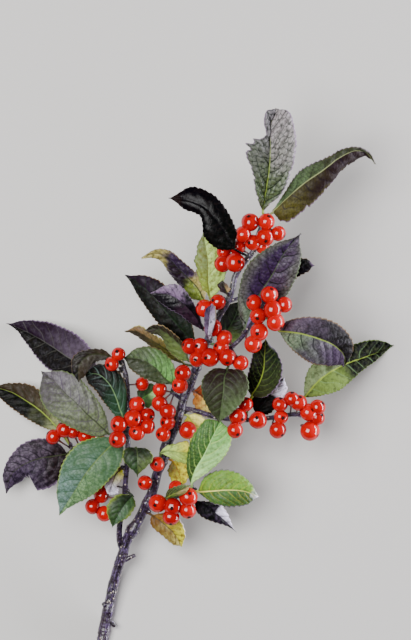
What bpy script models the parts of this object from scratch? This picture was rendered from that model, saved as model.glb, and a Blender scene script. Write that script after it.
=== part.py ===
"""Winterberry branch: one cut length of a fruiting shrub, lying on its back on a flat surface.

The wood is one solid: the main stem, its side twigs, the leaf stubs and the short stalks of the berries.
Every leaf is a solid of its own with its stalk, and every bunch of berries that touch one another is one
solid. The branch runs along +Y from its cut end, and its fruiting side faces +Z. It rests on three low
spots: the cut end of the stem, the tip of the long leaf at the left and the tip of the last leaf at the
right, each flat underneath and level with the surface.

Tables are in millimetres on a drawing grid whose corner is left of and below the branch. At the end
everything is shifted so that the origin is the middle of the branch's footprint, on the surface.
"""
import math

import bmesh
import bpy
import numpy as np
from mathutils import Vector

MM = 0.001

# Driving dimensions, in millimetres.
BLADE = 0.75            # thickness of a leaf blade
STALK = 1.15            # diameter of a leaf stalk
PEDICEL = 1.0           # diameter of a berry stalk
STALK_STEP = 3.5        # length between the rings of a leaf stalk
SEAT = 0.3              # gap between a stalk and what it is seated on
TOOTH = 0.45            # how far a leaf's teeth stand out of its margin
TOOTH_STEP = 2.9        # blade length between the rows that carry teeth and notches
TIP_WIDTH = 0.8         # a leaf tip is blunt, this wide
WOOD_STEP = 10.0        # length between the rings of the wood
AXIS_SPLIT = 20         # points looked at along each such length when something is seated on it
BERRY_SIDES = 8         # faces round a berry
BERRY_RINGS = 5         # faces from its stalk to its far end
BERRY_HEIGHT = 0.96     # a berry is a little shorter than it is wide, along its stalk
NODE_COLLAR = ((-1.6, 0.1), (-0.6, 0.32), (0.6, 0.32), (1.6, 0.1))  # a ringed node: place, swell
BARK = (0.055, 0.026, 0.032)
BERRY_RED = (0.62, 0.012, 0.008)
STALK_RING = ((-0.8, 0.45), (0.0, 1.0), (0.8, 0.45), (0.8, -0.45), (0.0, -1.0), (-0.8, -0.45))

# Plain colours of the leaves, by kind.
LEAF_COLOURS = {
    "green": (0.085, 0.150, 0.040),
    "dark": (0.030, 0.055, 0.022),
    "pale": (0.330, 0.400, 0.130),
    "olive": (0.230, 0.220, 0.050),
    "greyed": (0.170, 0.190, 0.160),
    "violet": (0.090, 0.060, 0.095),
    "bronze": (0.110, 0.075, 0.040),
    "black": (0.014, 0.018, 0.014),
    "golden": (0.560, 0.330, 0.040),
}

# Each stem: name, number of sides, and points along its axis, each with the diameter there.
WOOD = (
    ("stem", 8,
     ((45.0, -5.5, 2.2, 5.0), (46.5, 3.5, 2.25, 5.0), (48.0, 11.0, 3.6, 4.9), (49.5, 18.0, 4.9, 4.8),
      (51.0, 25.0, 6.4, 4.8), (53.0, 32.5, 8.6, 4.7), (55.0, 38.0, 10.2, 4.7), (57.0, 44.5, 12.2, 4.7),
      (59.5, 49.0, 13.8, 5.3), (62.5, 54.0, 15.4, 4.6), (66.0, 61.0, 17.9, 4.5),
      (68.5, 66.5, 19.8, 4.4), (71.0, 75.5, 22.6, 4.4), (73.0, 80.0, 24.0, 4.3),
      (74.5, 87.0, 26.0, 4.3), (77.0, 92.0, 27.4, 4.2), (79.0, 97.0, 28.6, 4.2),
      (81.0, 102.5, 29.7, 4.1), (83.0, 110.0, 31.0, 4.0), (85.5, 115.0, 31.9, 3.9),
      (88.5, 122.5, 33.0, 3.7), (91.5, 130.5, 34.1, 3.5), (95.0, 138.5, 35.2, 3.3),
      (98.5, 146.0, 36.0, 3.1), (102.0, 151.5, 36.7, 2.9), (104.5, 157.5, 37.4, 2.8),
      (106.0, 164.0, 38.2, 2.7), (110.0, 170.0, 39.3, 2.6), (112.5, 173.0, 39.9, 2.4),
      (115.0, 177.0, 40.5, 2.3), (116.0, 182.0, 41.1, 2.2), (118.0, 187.0, 41.7, 2.1),
      (119.0, 190.5, 42.0, 1.9))),
    ("left", 6,
     ((56.0, 38.0, 10.6, 2.6), (54.0, 42.0, 11.6, 2.6), (53.5, 49.0, 14.0, 2.6),
      (54.5, 56.0, 17.0, 2.6), (56.0, 64.5, 20.8, 2.6), (56.5, 72.0, 24.0, 2.5),
      (57.5, 83.0, 28.2, 2.5), (57.5, 93.5, 29.9, 2.4), (57.5, 107.0, 31.4, 2.3),
      (57.0, 117.0, 31.9, 2.2), (55.0, 126.0, 32.0, 2.0))),
    ("far_left", 5,
     ((57.5, 92.5, 29.8, 1.8), (53.0, 91.0, 25.0, 1.8), (48.5, 89.0, 19.5, 1.7),
      (43.5, 88.0, 16.6, 1.6), (38.0, 87.0, 14.6, 1.6), (31.5, 86.0, 13.0, 1.5))),
    ("right", 6,
     ((81.5, 104.5, 30.0, 2.4), (86.5, 103.5, 30.0, 2.4), (97.0, 100.5, 29.6, 2.3),
      (110.0, 99.0, 28.4, 2.2), (122.5, 100.0, 26.2, 2.1), (128.0, 101.0, 25.0, 2.1),
      (136.0, 101.0, 23.4, 2.0), (141.0, 97.0, 22.0, 1.9))),
    ("upper_right", 6,
     ((89.5, 125.0, 33.3, 2.2), (95.5, 127.0, 35.0, 2.2), (101.0, 129.5, 37.0, 2.1),
      (105.5, 133.0, 39.0, 2.0), (109.5, 137.0, 41.0, 1.9), (113.5, 143.0, 45.0, 1.8),
      (116.0, 146.5, 46.6, 1.7), (119.5, 151.5, 48.0, 1.6))),
    ("behind", 5,
     ((103.5, 152.5, 36.8, 1.6), (108.0, 154.0, 35.4, 1.6), (115.0, 155.5, 34.0, 1.5),
      (122.5, 157.5, 33.4, 1.4))),
    ("oval_twig", 5,
     ((82.5, 108.0, 30.6, 1.8), (79.5, 110.0, 32.0, 1.7), (77.5, 111.5, 33.2, 1.6))),
    ("low", 5,
     ((66.5, 61.5, 18.2, 2.2), (71.0, 62.5, 19.4, 2.1), (77.5, 64.0, 21.0, 2.0),
      (82.5, 65.0, 22.4, 1.9), (86.5, 67.5, 23.8, 1.7))),
)

# Short stubs of broken twigs, as points with diameters.
STUBS = (
    ((48.0, 12.5, 3.9, 3.0), (46.5, 15.5, 6.0, 2.4)),
    ((48.5, 8.0, 3.4, 2.4), (51.5, 5.0, 3.4, 1.8)),
    ((55.5, 35.0, 9.0, 2.4), (60.5, 37.5, 10.5, 1.6)),
)

# Places of the ringed nodes, on the stem's axis.
RINGED_NODES = (
    (60.0, 49.0, 13.8),
    (47.0, 3.5, 2.7),
    (66.0, 61.0, 17.9),
    (73.0, 80.0, 24.0),
    (79.0, 97.0, 28.6),
    (88.5, 122.5, 33.0),
)

# Each leaf: name, colour, its stalk from the wood, its midrib from base to tip, the left and the right
# margin from base to tip (a third value is the height over the midrib), and the height where none is given.
LEAVES = (
    ("leaf_crown", "greyed",
     ((118.5, 189.5, 42.2),),
     ((118.0, 192.5, 43.5), (119.5, 201.5, 47.0), (121.0, 211.5, 51.0), (121.5, 220.5, 53.0),
      (121.5, 229.5, 53.0), (124.0, 238.5, 51.0)),
     ((115.5, 199.0), (113.5, 210.0), (111.0, 220.5), (114.5, 223.5), (118.0, 226.0), (118.5, 232.0),
      (120.0, 237.5)),
     ((121.5, 195.5), (126.5, 200.5), (130.5, 209.5), (133.0, 219.5), (132.5, 228.5), (129.0, 237.5)),
     (1.5, 1.5)),
    ("leaf_upper_right", "bronze",
     ((119.0, 189.5, 41.0),),
     ((122.5, 192.5, 41.0), (130.5, 200.0, 43.0), (137.0, 205.5, 44.0), (145.0, 211.0, 44.0),
      (153.0, 217.0, 42.0), (160.0, 220.0, 39.0), (165.0, 219.0, 36.0), (169.0, 214.0, 34.0)),
     ((127.0, 199.5), (135.0, 211.0), (146.0, 216.5), (155.0, 221.0), (162.0, 221.5), (166.5, 219.0)),
     ((127.5, 187.5), (135.0, 191.5), (144.0, 199.5), (152.0, 209.0), (158.5, 215.0), (164.0, 217.5)),
     (1.0, -2.0)),
    ("leaf_black_upper", "black",
     ((112.0, 172.5, 40.0), (110.5, 173.0, 47.0), (108.5, 174.0, 50.5)),
     ((105.5, 175.5, 52.0), (101.5, 182.0, 53.0), (97.0, 189.0, 54.0), (92.0, 194.5, 54.0),
      (85.0, 197.5, 53.0), (76.0, 198.5, 49.0)),
     ((99.0, 175.5), (92.0, 181.0), (90.0, 190.5), (83.0, 193.5)),
     ((106.0, 183.5), (102.5, 192.0), (96.0, 200.0), (87.0, 203.5)),
     (-1.5, -1.5)),
    ("leaf_pale_upper", "pale",
     ((103.0, 153.0, 36.0), (98.5, 152.5, 34.0)),
     ((94.5, 153.5, 33.5), (93.5, 161.5, 36.0), (93.5, 170.0, 38.0), (92.5, 177.5, 39.0),
      (91.5, 184.0, 39.0)),
     ((90.0, 160.0), (87.5, 169.5), (89.0, 178.0)),
     ((98.5, 157.0), (101.5, 164.5), (101.0, 172.5), (97.0, 178.5)),
     (-1.0, -1.0)),
    ("leaf_twisted", "olive",
     ((101.5, 150.0, 34.8), (97.0, 150.5, 31.0)),
     ((92.0, 152.5, 28.5), (88.5, 159.0, 30.0), (83.5, 164.0, 34.0), (79.0, 168.5, 39.0),
      (75.0, 172.5, 42.0), (70.5, 174.0, 42.5), (63.5, 171.5, 42.0)),
     ((86.5, 153.5, -1.0), (81.0, 159.0, -5.0), (76.0, 165.5, -6.0), (72.0, 171.0, -4.0),
      (67.5, 171.5, -1.0)),
     ((93.0, 160.0, 0.0), (88.0, 165.5, 1.0), (82.0, 170.5, 4.0), (75.5, 175.5, 4.0),
      (69.0, 175.5, 2.0)),
     (0.0, 0.0)),
    ("leaf_dark_left", "dark",
     ((91.5, 131.0, 33.6),),
     ((88.0, 133.5, 31.0), (81.0, 140.5, 32.0), (74.0, 148.5, 32.0), (67.5, 156.0, 30.0),
      (61.0, 161.5, 27.0), (56.0, 164.5, 24.0)),
     ((86.5, 142.0), (80.0, 153.0), (72.0, 161.5), (63.0, 164.5)),
     ((81.5, 134.0), (71.5, 142.0), (65.5, 150.0), (60.0, 158.5)),
     (1.0, -2.0)),
    ("leaf_violet_left", "violet",
     ((96.5, 139.0, 35.2),),
     ((91.5, 139.5, 35.0), (88.0, 146.0, 38.0), (83.0, 151.0, 40.0), (77.0, 155.0, 40.0),
      (71.5, 156.0, 38.0), (67.5, 156.0, 36.0)),
     ((89.5, 146.5), (86.5, 153.0), (79.5, 160.0), (73.5, 159.0)),
     ((86.5, 142.0), (81.0, 146.5), (75.5, 149.5), (70.5, 153.0)),
     (2.0, -2.0)),
    ("leaf_arc", "green",
     ((88.5, 124.0, 33.3),),
     ((85.0, 125.5, 34.0), (82.5, 130.5, 36.5), (77.5, 136.0, 38.5), (71.0, 140.0, 39.0),
      (65.0, 139.5, 36.0)),
     ((83.5, 131.5, 0.0), (78.5, 138.0, 2.0), (71.5, 142.0, 2.0), (67.5, 141.5, 1.0)),
     ((81.0, 126.0, -1.0), (76.0, 130.0, -4.0), (72.0, 137.0, -5.0), (68.0, 138.0, -3.0)),
     (0.0, 0.0)),
    ("leaf_thin", "olive",
     ((88.0, 123.5, 31.0),),
     ((83.0, 124.0, 28.0), (75.0, 130.5, 28.0), (67.5, 135.5, 29.5), (61.5, 139.0, 29.0),
      (56.0, 139.0, 26.0)),
     ((76.5, 132.5, 1.0), (68.5, 138.0, 1.0), (62.0, 141.5, 1.0)),
     ((74.5, 127.0, -3.0), (66.5, 133.0, -4.0), (61.0, 137.0, -4.0)),
     (0.0, 0.0)),
    ("leaf_oval_left", "green",
     ((77.5, 112.0, 33.4),),
     ((78.0, 115.0, 35.6), (74.0, 118.0, 38.0), (70.0, 122.5, 40.0), (64.5, 126.0, 40.0),
      (55.5, 127.0, 37.0)),
     ((79.0, 121.0), (75.5, 128.0), (68.5, 132.0), (61.0, 131.0)),
     ((72.0, 115.5), (64.5, 118.0), (58.0, 123.0)),
     (-1.0, 0.0)),
    ("leaf_purple_far_left", "violet",
     ((56.0, 121.0, 31.4), (50.0, 120.0, 27.5)),
     ((44.0, 119.0, 24.0), (37.0, 123.5, 20.0), (30.5, 127.0, 15.0), (24.5, 131.0, 9.5),
      (18.0, 135.0, 4.5), (12.5, 138.0, 1.0), (7.0, 140.5, 0.2), (2.0, 142.5, 0.2)),
     ((42.0, 128.5), (35.5, 136.5), (27.0, 141.0, 0.8), (19.0, 143.5, 0.4), (12.5, 144.0, 0.0),
      (6.5, 144.0, 0.0)),
     ((34.5, 119.0), (22.5, 121.0, 0.6), (16.0, 127.0, 0.0), (11.0, 133.5, 0.0), (6.5, 139.0, 0.0)),
     (1.0, 1.0)),
    ("leaf_drooping", "bronze",
     ((55.5, 124.5, 32.0), (53.0, 125.0, 33.5)),
     ((51.0, 127.0, 35.5), (46.0, 128.5, 38.0), (40.0, 128.0, 40.5), (36.0, 124.0, 41.0),
      (35.5, 116.0, 38.5)),
     ((47.0, 130.5), (39.5, 130.5), (33.5, 128.0), (32.5, 121.5)),
     ((48.0, 126.5), (44.0, 125.5), (40.5, 122.5), (38.0, 118.5)),
     (-1.0, -2.0)),
    ("leaf_black_left", "black",
     ((57.5, 96.0, 31.0),),
     ((56.5, 97.5, 33.0), (54.0, 104.0, 35.5), (52.0, 110.0, 37.0), (49.5, 115.0, 38.0),
      (45.5, 119.0, 37.0), (38.0, 120.0, 32.5)),
     ((52.0, 101.0), (47.0, 107.0), (42.5, 113.0), (38.5, 117.0)),
     ((57.0, 104.0), (57.0, 112.5), (54.5, 119.5), (48.0, 124.0), (41.5, 123.5)),
     (-1.0, -1.0)),
    ("leaf_broad_left", "greyed",
     ((57.5, 94.0, 29.8), (53.5, 92.5, 28.0)),
     ((49.0, 92.5, 27.5), (44.5, 97.0, 30.0), (39.5, 101.5, 32.0), (34.0, 107.0, 32.0),
      (29.0, 111.5, 30.0), (24.5, 116.5, 27.0), (18.5, 121.0, 24.0)),
     ((48.0, 100.0), (41.0, 112.0), (34.0, 119.0), (25.0, 121.5)),
     ((44.0, 91.5), (36.0, 94.0), (27.0, 98.5), (19.0, 106.5), (17.5, 115.0)),
     (0.5, -2.0)),
    ("leaf_long_left", "violet",
     ((32.0, 86.0, 13.1),),
     ((27.0, 93.5, 14.5), (22.5, 98.5, 13.5), (17.0, 103.5, 11.0), (11.0, 107.5, 8.0),
      (5.0, 111.0, 5.5), (-5.5, 114.0, 3.5)),
     ((25.0, 101.5), (20.0, 109.5), (13.5, 114.5), (4.5, 115.5)),
     ((21.5, 94.5), (13.0, 98.5), (4.0, 104.5), (-2.0, 110.0)),
     (0.5, 0.5)),
    ("leaf_torn", "violet",
     ((34.0, 86.0, 13.5),),
     ((30.0, 83.5, 14.0), (24.5, 82.5, 14.5), (18.0, 81.5, 15.0), (11.0, 79.0, 14.5),
      (5.0, 74.5, 12.5), (2.0, 65.5, 9.0)),
     ((27.0, 87.5), (18.5, 90.5), (9.0, 87.5), (3.0, 80.5), (0.5, 72.0)),
     ((26.0, 71.0), (20.0, 67.5), (15.0, 67.0), (12.0, 74.0), (9.0, 71.0), (5.0, 68.5)),
     (0.0, -1.5)),
    ("leaf_green_left", "green",
     ((57.5, 88.5, 29.0),),
     ((55.0, 90.5, 31.0), (49.5, 87.0, 34.0), (44.5, 82.0, 35.0), (39.5, 76.0, 34.0),
      (34.0, 67.5, 30.0), (26.5, 56.0, 24.0)),
     ((45.5, 91.5), (35.5, 88.5), (29.5, 82.0), (26.5, 73.0), (25.5, 64.0)),
     ((55.5, 84.0), (54.0, 78.5), (49.0, 72.0), (39.5, 64.0), (32.0, 60.0)),
     (-1.0, -1.0)),
    ("leaf_heart_small", "dark",
     ((57.0, 81.5, 27.8), (59.0, 84.5, 32.0)),
     ((61.5, 86.5, 36.0), (62.0, 82.5, 40.0), (62.0, 78.0, 40.0), (62.0, 73.5, 36.0)),
     ((57.0, 86.5), (55.0, 81.5), (58.0, 76.0)),
     ((66.5, 86.0), (69.5, 81.0), (66.0, 76.0)),
     (-1.0, -1.0)),
    ("leaf_small_low", "green",
     ((56.0, 67.0, 22.0), (58.0, 66.0, 24.0)),
     ((59.5, 65.0, 25.0), (56.0, 61.0, 27.5), (53.0, 56.0, 27.5), (50.5, 50.5, 25.0)),
     ((53.5, 65.5), (48.0, 60.0), (47.5, 54.0)),
     ((61.0, 61.0), (58.0, 55.5), (54.0, 52.0)),
     (-0.5, -0.5)),
    ("leaf_shrivelled", "olive",
     ((56.5, 77.0, 25.6),),
     ((55.0, 77.0, 26.5), (52.5, 75.0, 27.5), (51.0, 71.5, 27.0), (50.0, 68.0, 25.5),
      (53.0, 65.5, 25.0)),
     ((52.5, 79.0), (48.5, 74.5), (47.0, 69.5), (49.5, 65.0)),
     ((55.5, 74.0), (54.0, 71.0), (52.5, 69.0), (53.5, 67.5)),
     (0.0, -1.0)),
    ("leaf_yellow", "golden",
     ((73.5, 82.0, 24.2), (75.5, 81.5, 23.0)),
     ((77.5, 80.5, 22.5), (79.5, 77.5, 22.0), (81.0, 73.5, 21.0), (81.0, 68.5, 19.0)),
     ((75.5, 76.5), (77.5, 71.0)),
     ((83.0, 80.0), (85.0, 75.5), (84.0, 71.0)),
     (0.0, 0.0)),
    ("leaf_lime", "pale",
     ((73.5, 81.5, 24.5),),
     ((72.0, 84.0, 28.6), (75.0, 85.0, 29.8), (80.0, 84.5, 29.0), (85.5, 84.5, 27.0)),
     ((74.5, 87.0), (79.5, 88.5), (84.5, 89.5)),
     ((74.5, 83.0), (79.5, 80.5), (84.5, 79.5)),
     (0.0, 0.0)),
    ("leaf_cream", "pale",
     ((81.5, 102.5, 29.2),),
     ((84.5, 101.0, 26.8), (87.0, 97.0, 25.0), (88.5, 92.5, 23.5), (89.5, 88.5, 21.0)),
     ((83.0, 98.5), (83.0, 93.5), (86.0, 89.5)),
     ((89.0, 102.0), (93.0, 98.0), (92.5, 92.0)),
     (0.0, 0.0)),
    ("leaf_two_tone", "green",
     ((86.0, 67.5, 24.6),),
     ((86.0, 70.0, 27.0), (88.0, 76.5, 32.0), (92.0, 83.5, 36.0), (95.5, 91.0, 38.0),
      (99.5, 99.0, 38.0)),
     ((84.0, 78.0), (85.0, 87.0), (89.0, 95.5), (94.0, 100.0)),
     ((89.5, 72.5), (96.5, 78.0), (101.5, 83.5), (104.0, 90.0), (103.0, 96.0)),
     (-1.0, 1.0)),
    ("leaf_heart_centre", "bronze",
     ((101.0, 129.0, 36.8), (103.0, 125.0, 37.0)),
     ((102.5, 122.0, 42.0), (101.0, 118.0, 47.0), (100.5, 111.5, 49.0), (99.5, 105.0, 48.0),
      (98.5, 98.0, 45.0)),
     ((97.0, 122.5), (91.0, 117.0), (91.5, 109.5), (95.0, 102.5)),
     ((109.5, 121.0, 1.0), (112.0, 115.5), (109.5, 108.5), (103.5, 102.0)),
     (-1.0, -1.0)),
    ("leaf_oval_low", "green",
     ((86.5, 67.5, 23.6),),
     ((89.0, 66.5, 26.0), (95.5, 67.0, 30.0), (102.0, 67.5, 32.0), (109.5, 67.0, 31.0),
      (116.5, 64.5, 28.0)),
     ((92.0, 73.0), (99.0, 76.5), (107.0, 75.5), (113.0, 70.5)),
     ((95.5, 61.5), (105.0, 60.0), (112.5, 61.5)),
     (-1.0, -1.0)),
    ("leaf_black_low", "black",
     ((83.5, 65.5, 22.0),),
     ((87.5, 62.5, 20.5), (93.0, 59.5, 21.0), (100.0, 54.5, 19.0), (106.5, 48.0, 14.0)),
     ((94.0, 62.0), (101.0, 60.0), (105.5, 54.0)),
     ((88.5, 57.5), (93.5, 53.5), (101.0, 49.5)),
     (0.0, 0.0)),
    ("leaf_golden", "golden",
     ((65.0, 58.0, 17.6),),
     ((68.0, 56.0, 18.5), (73.0, 52.5, 20.0), (78.0, 48.0, 20.0), (82.0, 41.5, 17.0)),
     ((73.0, 57.0), (80.5, 54.5), (83.5, 47.0)),
     ((67.5, 52.0), (73.0, 46.5), (79.0, 42.0)),
     (0.5, -1.5)),
    ("leaf_strip_low", "green",
     ((75.0, 63.0, 20.6),),
     ((75.0, 63.5, 27.0), (76.5, 65.0, 35.5), (81.0, 67.5, 38.0), (86.0, 70.0, 38.0)),
     ((75.5, 67.0, 1.0), (81.5, 70.0, 2.0)),
     ((77.5, 64.5, 0.0), (83.0, 66.0, -1.0)),
     (0.0, 0.0)),
    ("leaf_black_centre", "black",
     ((110.5, 99.0, 28.6), (112.0, 105.5, 30.0)),
     ((113.0, 110.0, 33.5), (116.5, 115.5, 38.0), (118.5, 121.5, 41.0), (119.0, 128.5, 42.0),
      (119.5, 135.5, 41.0)),
     ((111.0, 115.0), (112.5, 123.5), (115.0, 131.5)),
     ((119.0, 109.5), (124.5, 114.0), (127.0, 121.5), (124.0, 130.5)),
     (-1.0, -1.5)),
    ("leaf_dark_centre", "dark",
     ((113.0, 99.0, 27.6),),
     ((115.0, 102.0, 26.5), (118.5, 106.5, 27.0), (122.5, 111.5, 27.5), (128.0, 118.0, 26.0)),
     ((113.0, 107.5), (117.0, 112.5), (123.5, 117.0)),
     ((120.5, 101.5), (126.5, 107.5), (129.5, 113.5)),
     (0.0, 0.0)),
    ("leaf_violet_centre", "violet",
     ((109.0, 136.5, 41.0),),
     ((110.0, 139.5, 38.5), (112.0, 146.0, 39.0), (115.5, 153.5, 41.0), (119.0, 159.0, 44.0),
      (122.5, 164.5, 49.0), (128.0, 174.5, 54.0), (135.0, 182.5, 56.0)),
     ((107.5, 146.5), (108.0, 160.0), (112.0, 169.5), (119.0, 175.5, 0.0), (128.0, 180.0, 0.0)),
     ((118.0, 143.0), (128.5, 154.5), (133.5, 164.5), (135.5, 173.5)),
     (-1.0, -1.5)),
    ("leaf_black_behind", "black",
     ((122.0, 157.5, 33.4),),
     ((124.0, 159.5, 34.0), (129.0, 163.5, 37.0), (135.0, 167.5, 37.0), (141.5, 168.5, 34.0)),
     ((127.5, 166.0), (133.5, 171.5), (138.5, 171.5)),
     ((129.0, 160.0), (135.0, 164.0), (139.0, 166.0)),
     (0.0, 0.0)),
    ("leaf_right_upper", "violet",
     ((118.5, 149.5, 47.6), (121.5, 143.0, 45.5)),
     ((125.5, 139.0, 46.0), (134.5, 138.0, 49.0), (143.5, 135.5, 47.0), (151.0, 132.0, 41.0),
      (155.0, 127.0, 35.0), (154.5, 123.0, 32.0)),
     ((128.5, 143.0), (135.0, 145.0), (144.0, 145.0), (152.0, 142.0), (158.5, 134.5), (158.5, 128.0)),
     ((128.5, 134.0), (134.5, 128.0), (140.5, 124.5), (147.5, 123.5)),
     (-1.0, -2.0)),
    ("leaf_right_lower", "bronze",
     ((135.5, 101.5, 23.6), (136.5, 105.5, 24.5)),
     ((137.0, 109.0, 26.0), (144.0, 117.0, 26.0), (154.5, 123.5, 20.0), (163.0, 126.5, 11.0),
      (170.0, 129.0, 3.5), (174.5, 130.5, 0.4), (178.0, 132.5, 0.2)),
     ((137.0, 115.0), (140.5, 124.0), (149.5, 129.5), (159.0, 133.0), (168.5, 135.0, 0.5),
      (175.5, 135.0, 0.0)),
     ((142.0, 109.5), (152.0, 112.0), (162.0, 120.0, 0.3), (173.0, 128.0, 0.0)),
     (-1.0, 0.5)),
    ("leaf_back_centre", "dark",
     ((93.5, 134.0, 33.0), (96.5, 133.0, 30.0)),
     ((98.5, 133.5, 27.0), (102.5, 139.5, 25.0), (106.0, 146.0, 25.0), (108.0, 153.0, 26.0)),
     ((97.0, 139.0), (99.5, 146.0), (104.0, 151.5)),
     ((105.5, 133.0), (110.0, 139.5), (111.0, 148.0)),
     (0.0, 0.0)),
    ("leaf_olive_small", "olive",
     ((104.5, 154.5, 37.2),),
     ((102.5, 155.5, 39.5), (101.0, 159.0, 40.3), (100.0, 162.0, 40.0)),
     ((99.0, 157.0), (98.0, 160.0)),
     ((103.5, 158.0), (102.0, 160.0)),
     (0.0, 0.0)),
    ("leaf_edge_centre", "violet",
     ((94.0, 134.0, 34.8),),
     ((94.0, 134.5, 38.7), (93.5, 137.5, 47.0), (94.0, 141.5, 50.0), (94.5, 146.0, 52.0),
      (95.5, 151.5, 52.0)),
     ((93.0, 138.0, 1.0), (92.0, 145.0, -2.0), (93.0, 149.5, -1.5)),
     ((95.5, 138.5, 3.5), (97.0, 144.5, 6.0), (97.0, 149.5, 5.0)),
     (0.0, 0.0)),
    ("leaf_back_left", "green",
     ((57.5, 107.0, 31.5), (60.0, 107.5, 28.5)),
     ((62.0, 107.5, 26.5), (66.0, 110.0, 25.0), (71.0, 114.0, 23.0)),
     ((62.0, 112.5), (67.5, 115.5)),
     ((66.0, 104.5), (71.0, 108.0)),
     (0.0, 0.0)),
    ("leaf_dried", "golden",
     ((84.5, 112.5, 31.0),),
     ((87.0, 112.0, 29.5), (91.0, 109.5, 27.0), (94.0, 104.5, 24.5), (96.0, 99.5, 22.0)),
     ((91.5, 115.0), (96.0, 109.5), (97.0, 103.5)),
     ((86.5, 107.5), (89.5, 103.0), (93.0, 100.0)),
     (0.0, 0.0)),
)

# Each bunch of berries that touch: the centre and the diameter of every berry. False: its stalk is hidden.
BERRIES = (
    ("berries_crown",
     ((112.50, 187.75, 48.0, 8.3), (119.75, 188.00, 48.5, 7.6), (109.25, 182.25, 49.0, 7.6, False),
      (119.25, 181.00, 48.0, 8.1), (125.00, 182.75, 47.0, 7.0), (113.50, 178.75, 47.0, 7.2),
      (118.00, 176.75, 44.0, 6.3))),
    ("berries_upper",
     ((100.25, 169.25, 44.0, 8.1), (105.75, 169.75, 47.0, 9.0), (107.00, 176.50, 44.5, 7.2),
      (100.75, 174.75, 43.0, 6.8))),
    ("berries_mid_upper",
     ((92.00, 149.25, 43.0, 8.1), (98.00, 152.00, 42.5, 7.2))),
    ("berries_middle",
     ((95.75, 140.50, 42.0, 8.1), (101.00, 136.00, 41.5, 7.2), (99.50, 131.50, 41.5, 7.2),
      (102.25, 127.25, 43.0, 7.9), (94.50, 127.25, 43.0, 8.6), (90.00, 132.25, 41.0, 7.6),
      (85.50, 132.25, 41.0, 7.6, False), (88.75, 126.50, 42.0, 7.2), (108.25, 124.75, 42.0, 7.2))),
    ("berries_pair",
     ((82.25, 120.25, 45.0, 7.6), (81.00, 114.75, 44.0, 7.4, False))),
    ("berries_right_upper",
     ((121.00, 155.25, 54.0, 7.9), (114.25, 151.75, 52.5, 7.2), (122.50, 148.50, 54.5, 8.6),
      (127.75, 150.75, 52.0, 7.2, False), (116.00, 145.75, 53.0, 7.4),
      (123.75, 143.00, 55.0, 8.1, False), (116.50, 138.75, 52.0, 8.1), (113.75, 133.25, 50.0, 8.1))),
    ("berries_centre_low",
     ((107.00, 100.75, 39.5, 8.1), (105.75, 94.50, 42.5, 7.2), (110.50, 106.25, 38.5, 6.8))),
    ("berry_centre_right",
     ((116.00, 99.00, 35.0, 8.1),)),
    ("berries_right",
     ((126.00, 106.00, 32.0, 7.0), (131.25, 108.50, 32.0, 7.0), (134.50, 106.75, 31.5, 7.6),
      (126.50, 100.25, 31.0, 6.5), (139.00, 102.50, 30.5, 8.1), (143.00, 104.75, 31.0, 7.2, False),
      (142.75, 100.25, 29.0, 7.2, False), (139.50, 94.00, 29.0, 9.2), (125.00, 94.50, 30.0, 7.9))),
    ("berries_left_inner",
     ((72.00, 112.75, 34.3, 6.8), (72.00, 106.50, 35.5, 7.6), (75.50, 103.00, 38.0, 7.6),
      (75.50, 98.00, 36.0, 7.0), (73.50, 92.75, 35.5, 7.0))),
    ("berries_left",
     ((61.75, 106.00, 36.5, 7.4), (60.00, 99.75, 39.0, 8.3), (66.50, 101.25, 37.5, 6.8),
      (66.50, 96.25, 38.0, 7.0), (61.75, 93.50, 38.0, 7.4), (53.00, 90.50, 40.5, 7.9, False),
      (53.50, 97.25, 40.5, 7.6, False))),
    ("berries_far_left",
     ((23.75, 91.25, 20.0, 7.0), (28.75, 94.50, 21.0, 7.6), (32.75, 93.50, 21.0, 6.3),
      (38.25, 91.75, 21.5, 7.0), (43.75, 91.00, 22.5, 6.8))),
    ("berries_left_top",
     ((53.50, 128.75, 41.5, 6.3), (50.50, 124.25, 41.5, 6.5, False))),
    ("berry_behind_oval",
     ((64.00, 115.25, 32.0, 6.3),)),
    ("berries_low_left",
     ((41.50, 59.75, 20.0, 7.2, False), (46.75, 56.50, 20.0, 7.4), (45.50, 64.75, 19.0, 7.2),
      (48.00, 70.25, 18.5, 7.0))),
    ("berry_stem_upper",
     ((70.75, 79.25, 33.0, 6.8),)),
    ("berry_stem_lower",
     ((65.25, 70.75, 30.0, 6.8),)),
    ("berries_low",
     ((79.25, 68.50, 31.5, 7.0), (84.75, 64.50, 32.5, 8.6), (77.75, 60.00, 31.0, 8.1),
      (77.00, 55.25, 30.0, 7.6), (71.00, 61.50, 30.5, 8.3), (84.50, 58.25, 30.5, 7.6))),
    ("berry_cream",
     ((84.50, 94.50, 31.5, 8.1),)),
)


def smooth(points, share):
    """A point on the curve through all points, at a share (0 to 1) of its chord length."""
    pts = np.array(points, dtype=float)
    steps = np.linalg.norm(np.diff(pts, axis=0), axis=1)
    knots = np.concatenate([[0.0], np.cumsum(steps)])
    place = share * knots[-1]
    k = min(int(np.searchsorted(knots, place, side="right")) - 1, len(pts) - 2)
    slopes = np.gradient(pts, knots, axis=0)
    h = knots[k + 1] - knots[k]
    u = (place - knots[k]) / h
    start = (2 * u**3 - 3 * u**2 + 1) * pts[k] + (u**3 - 2 * u**2 + u) * h * slopes[k]
    end = (3 * u**2 - 2 * u**3) * pts[k + 1] + (u**3 - u**2) * h * slopes[k + 1]
    return start + end


def length_of(points):
    """The length of a run of points."""
    return float(np.linalg.norm(np.diff(np.array(points, dtype=float), axis=0), axis=1).sum())


def unit(vector):
    """The vector at length 1."""
    return vector / max(float(np.linalg.norm(vector)), 1e-9)


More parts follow.
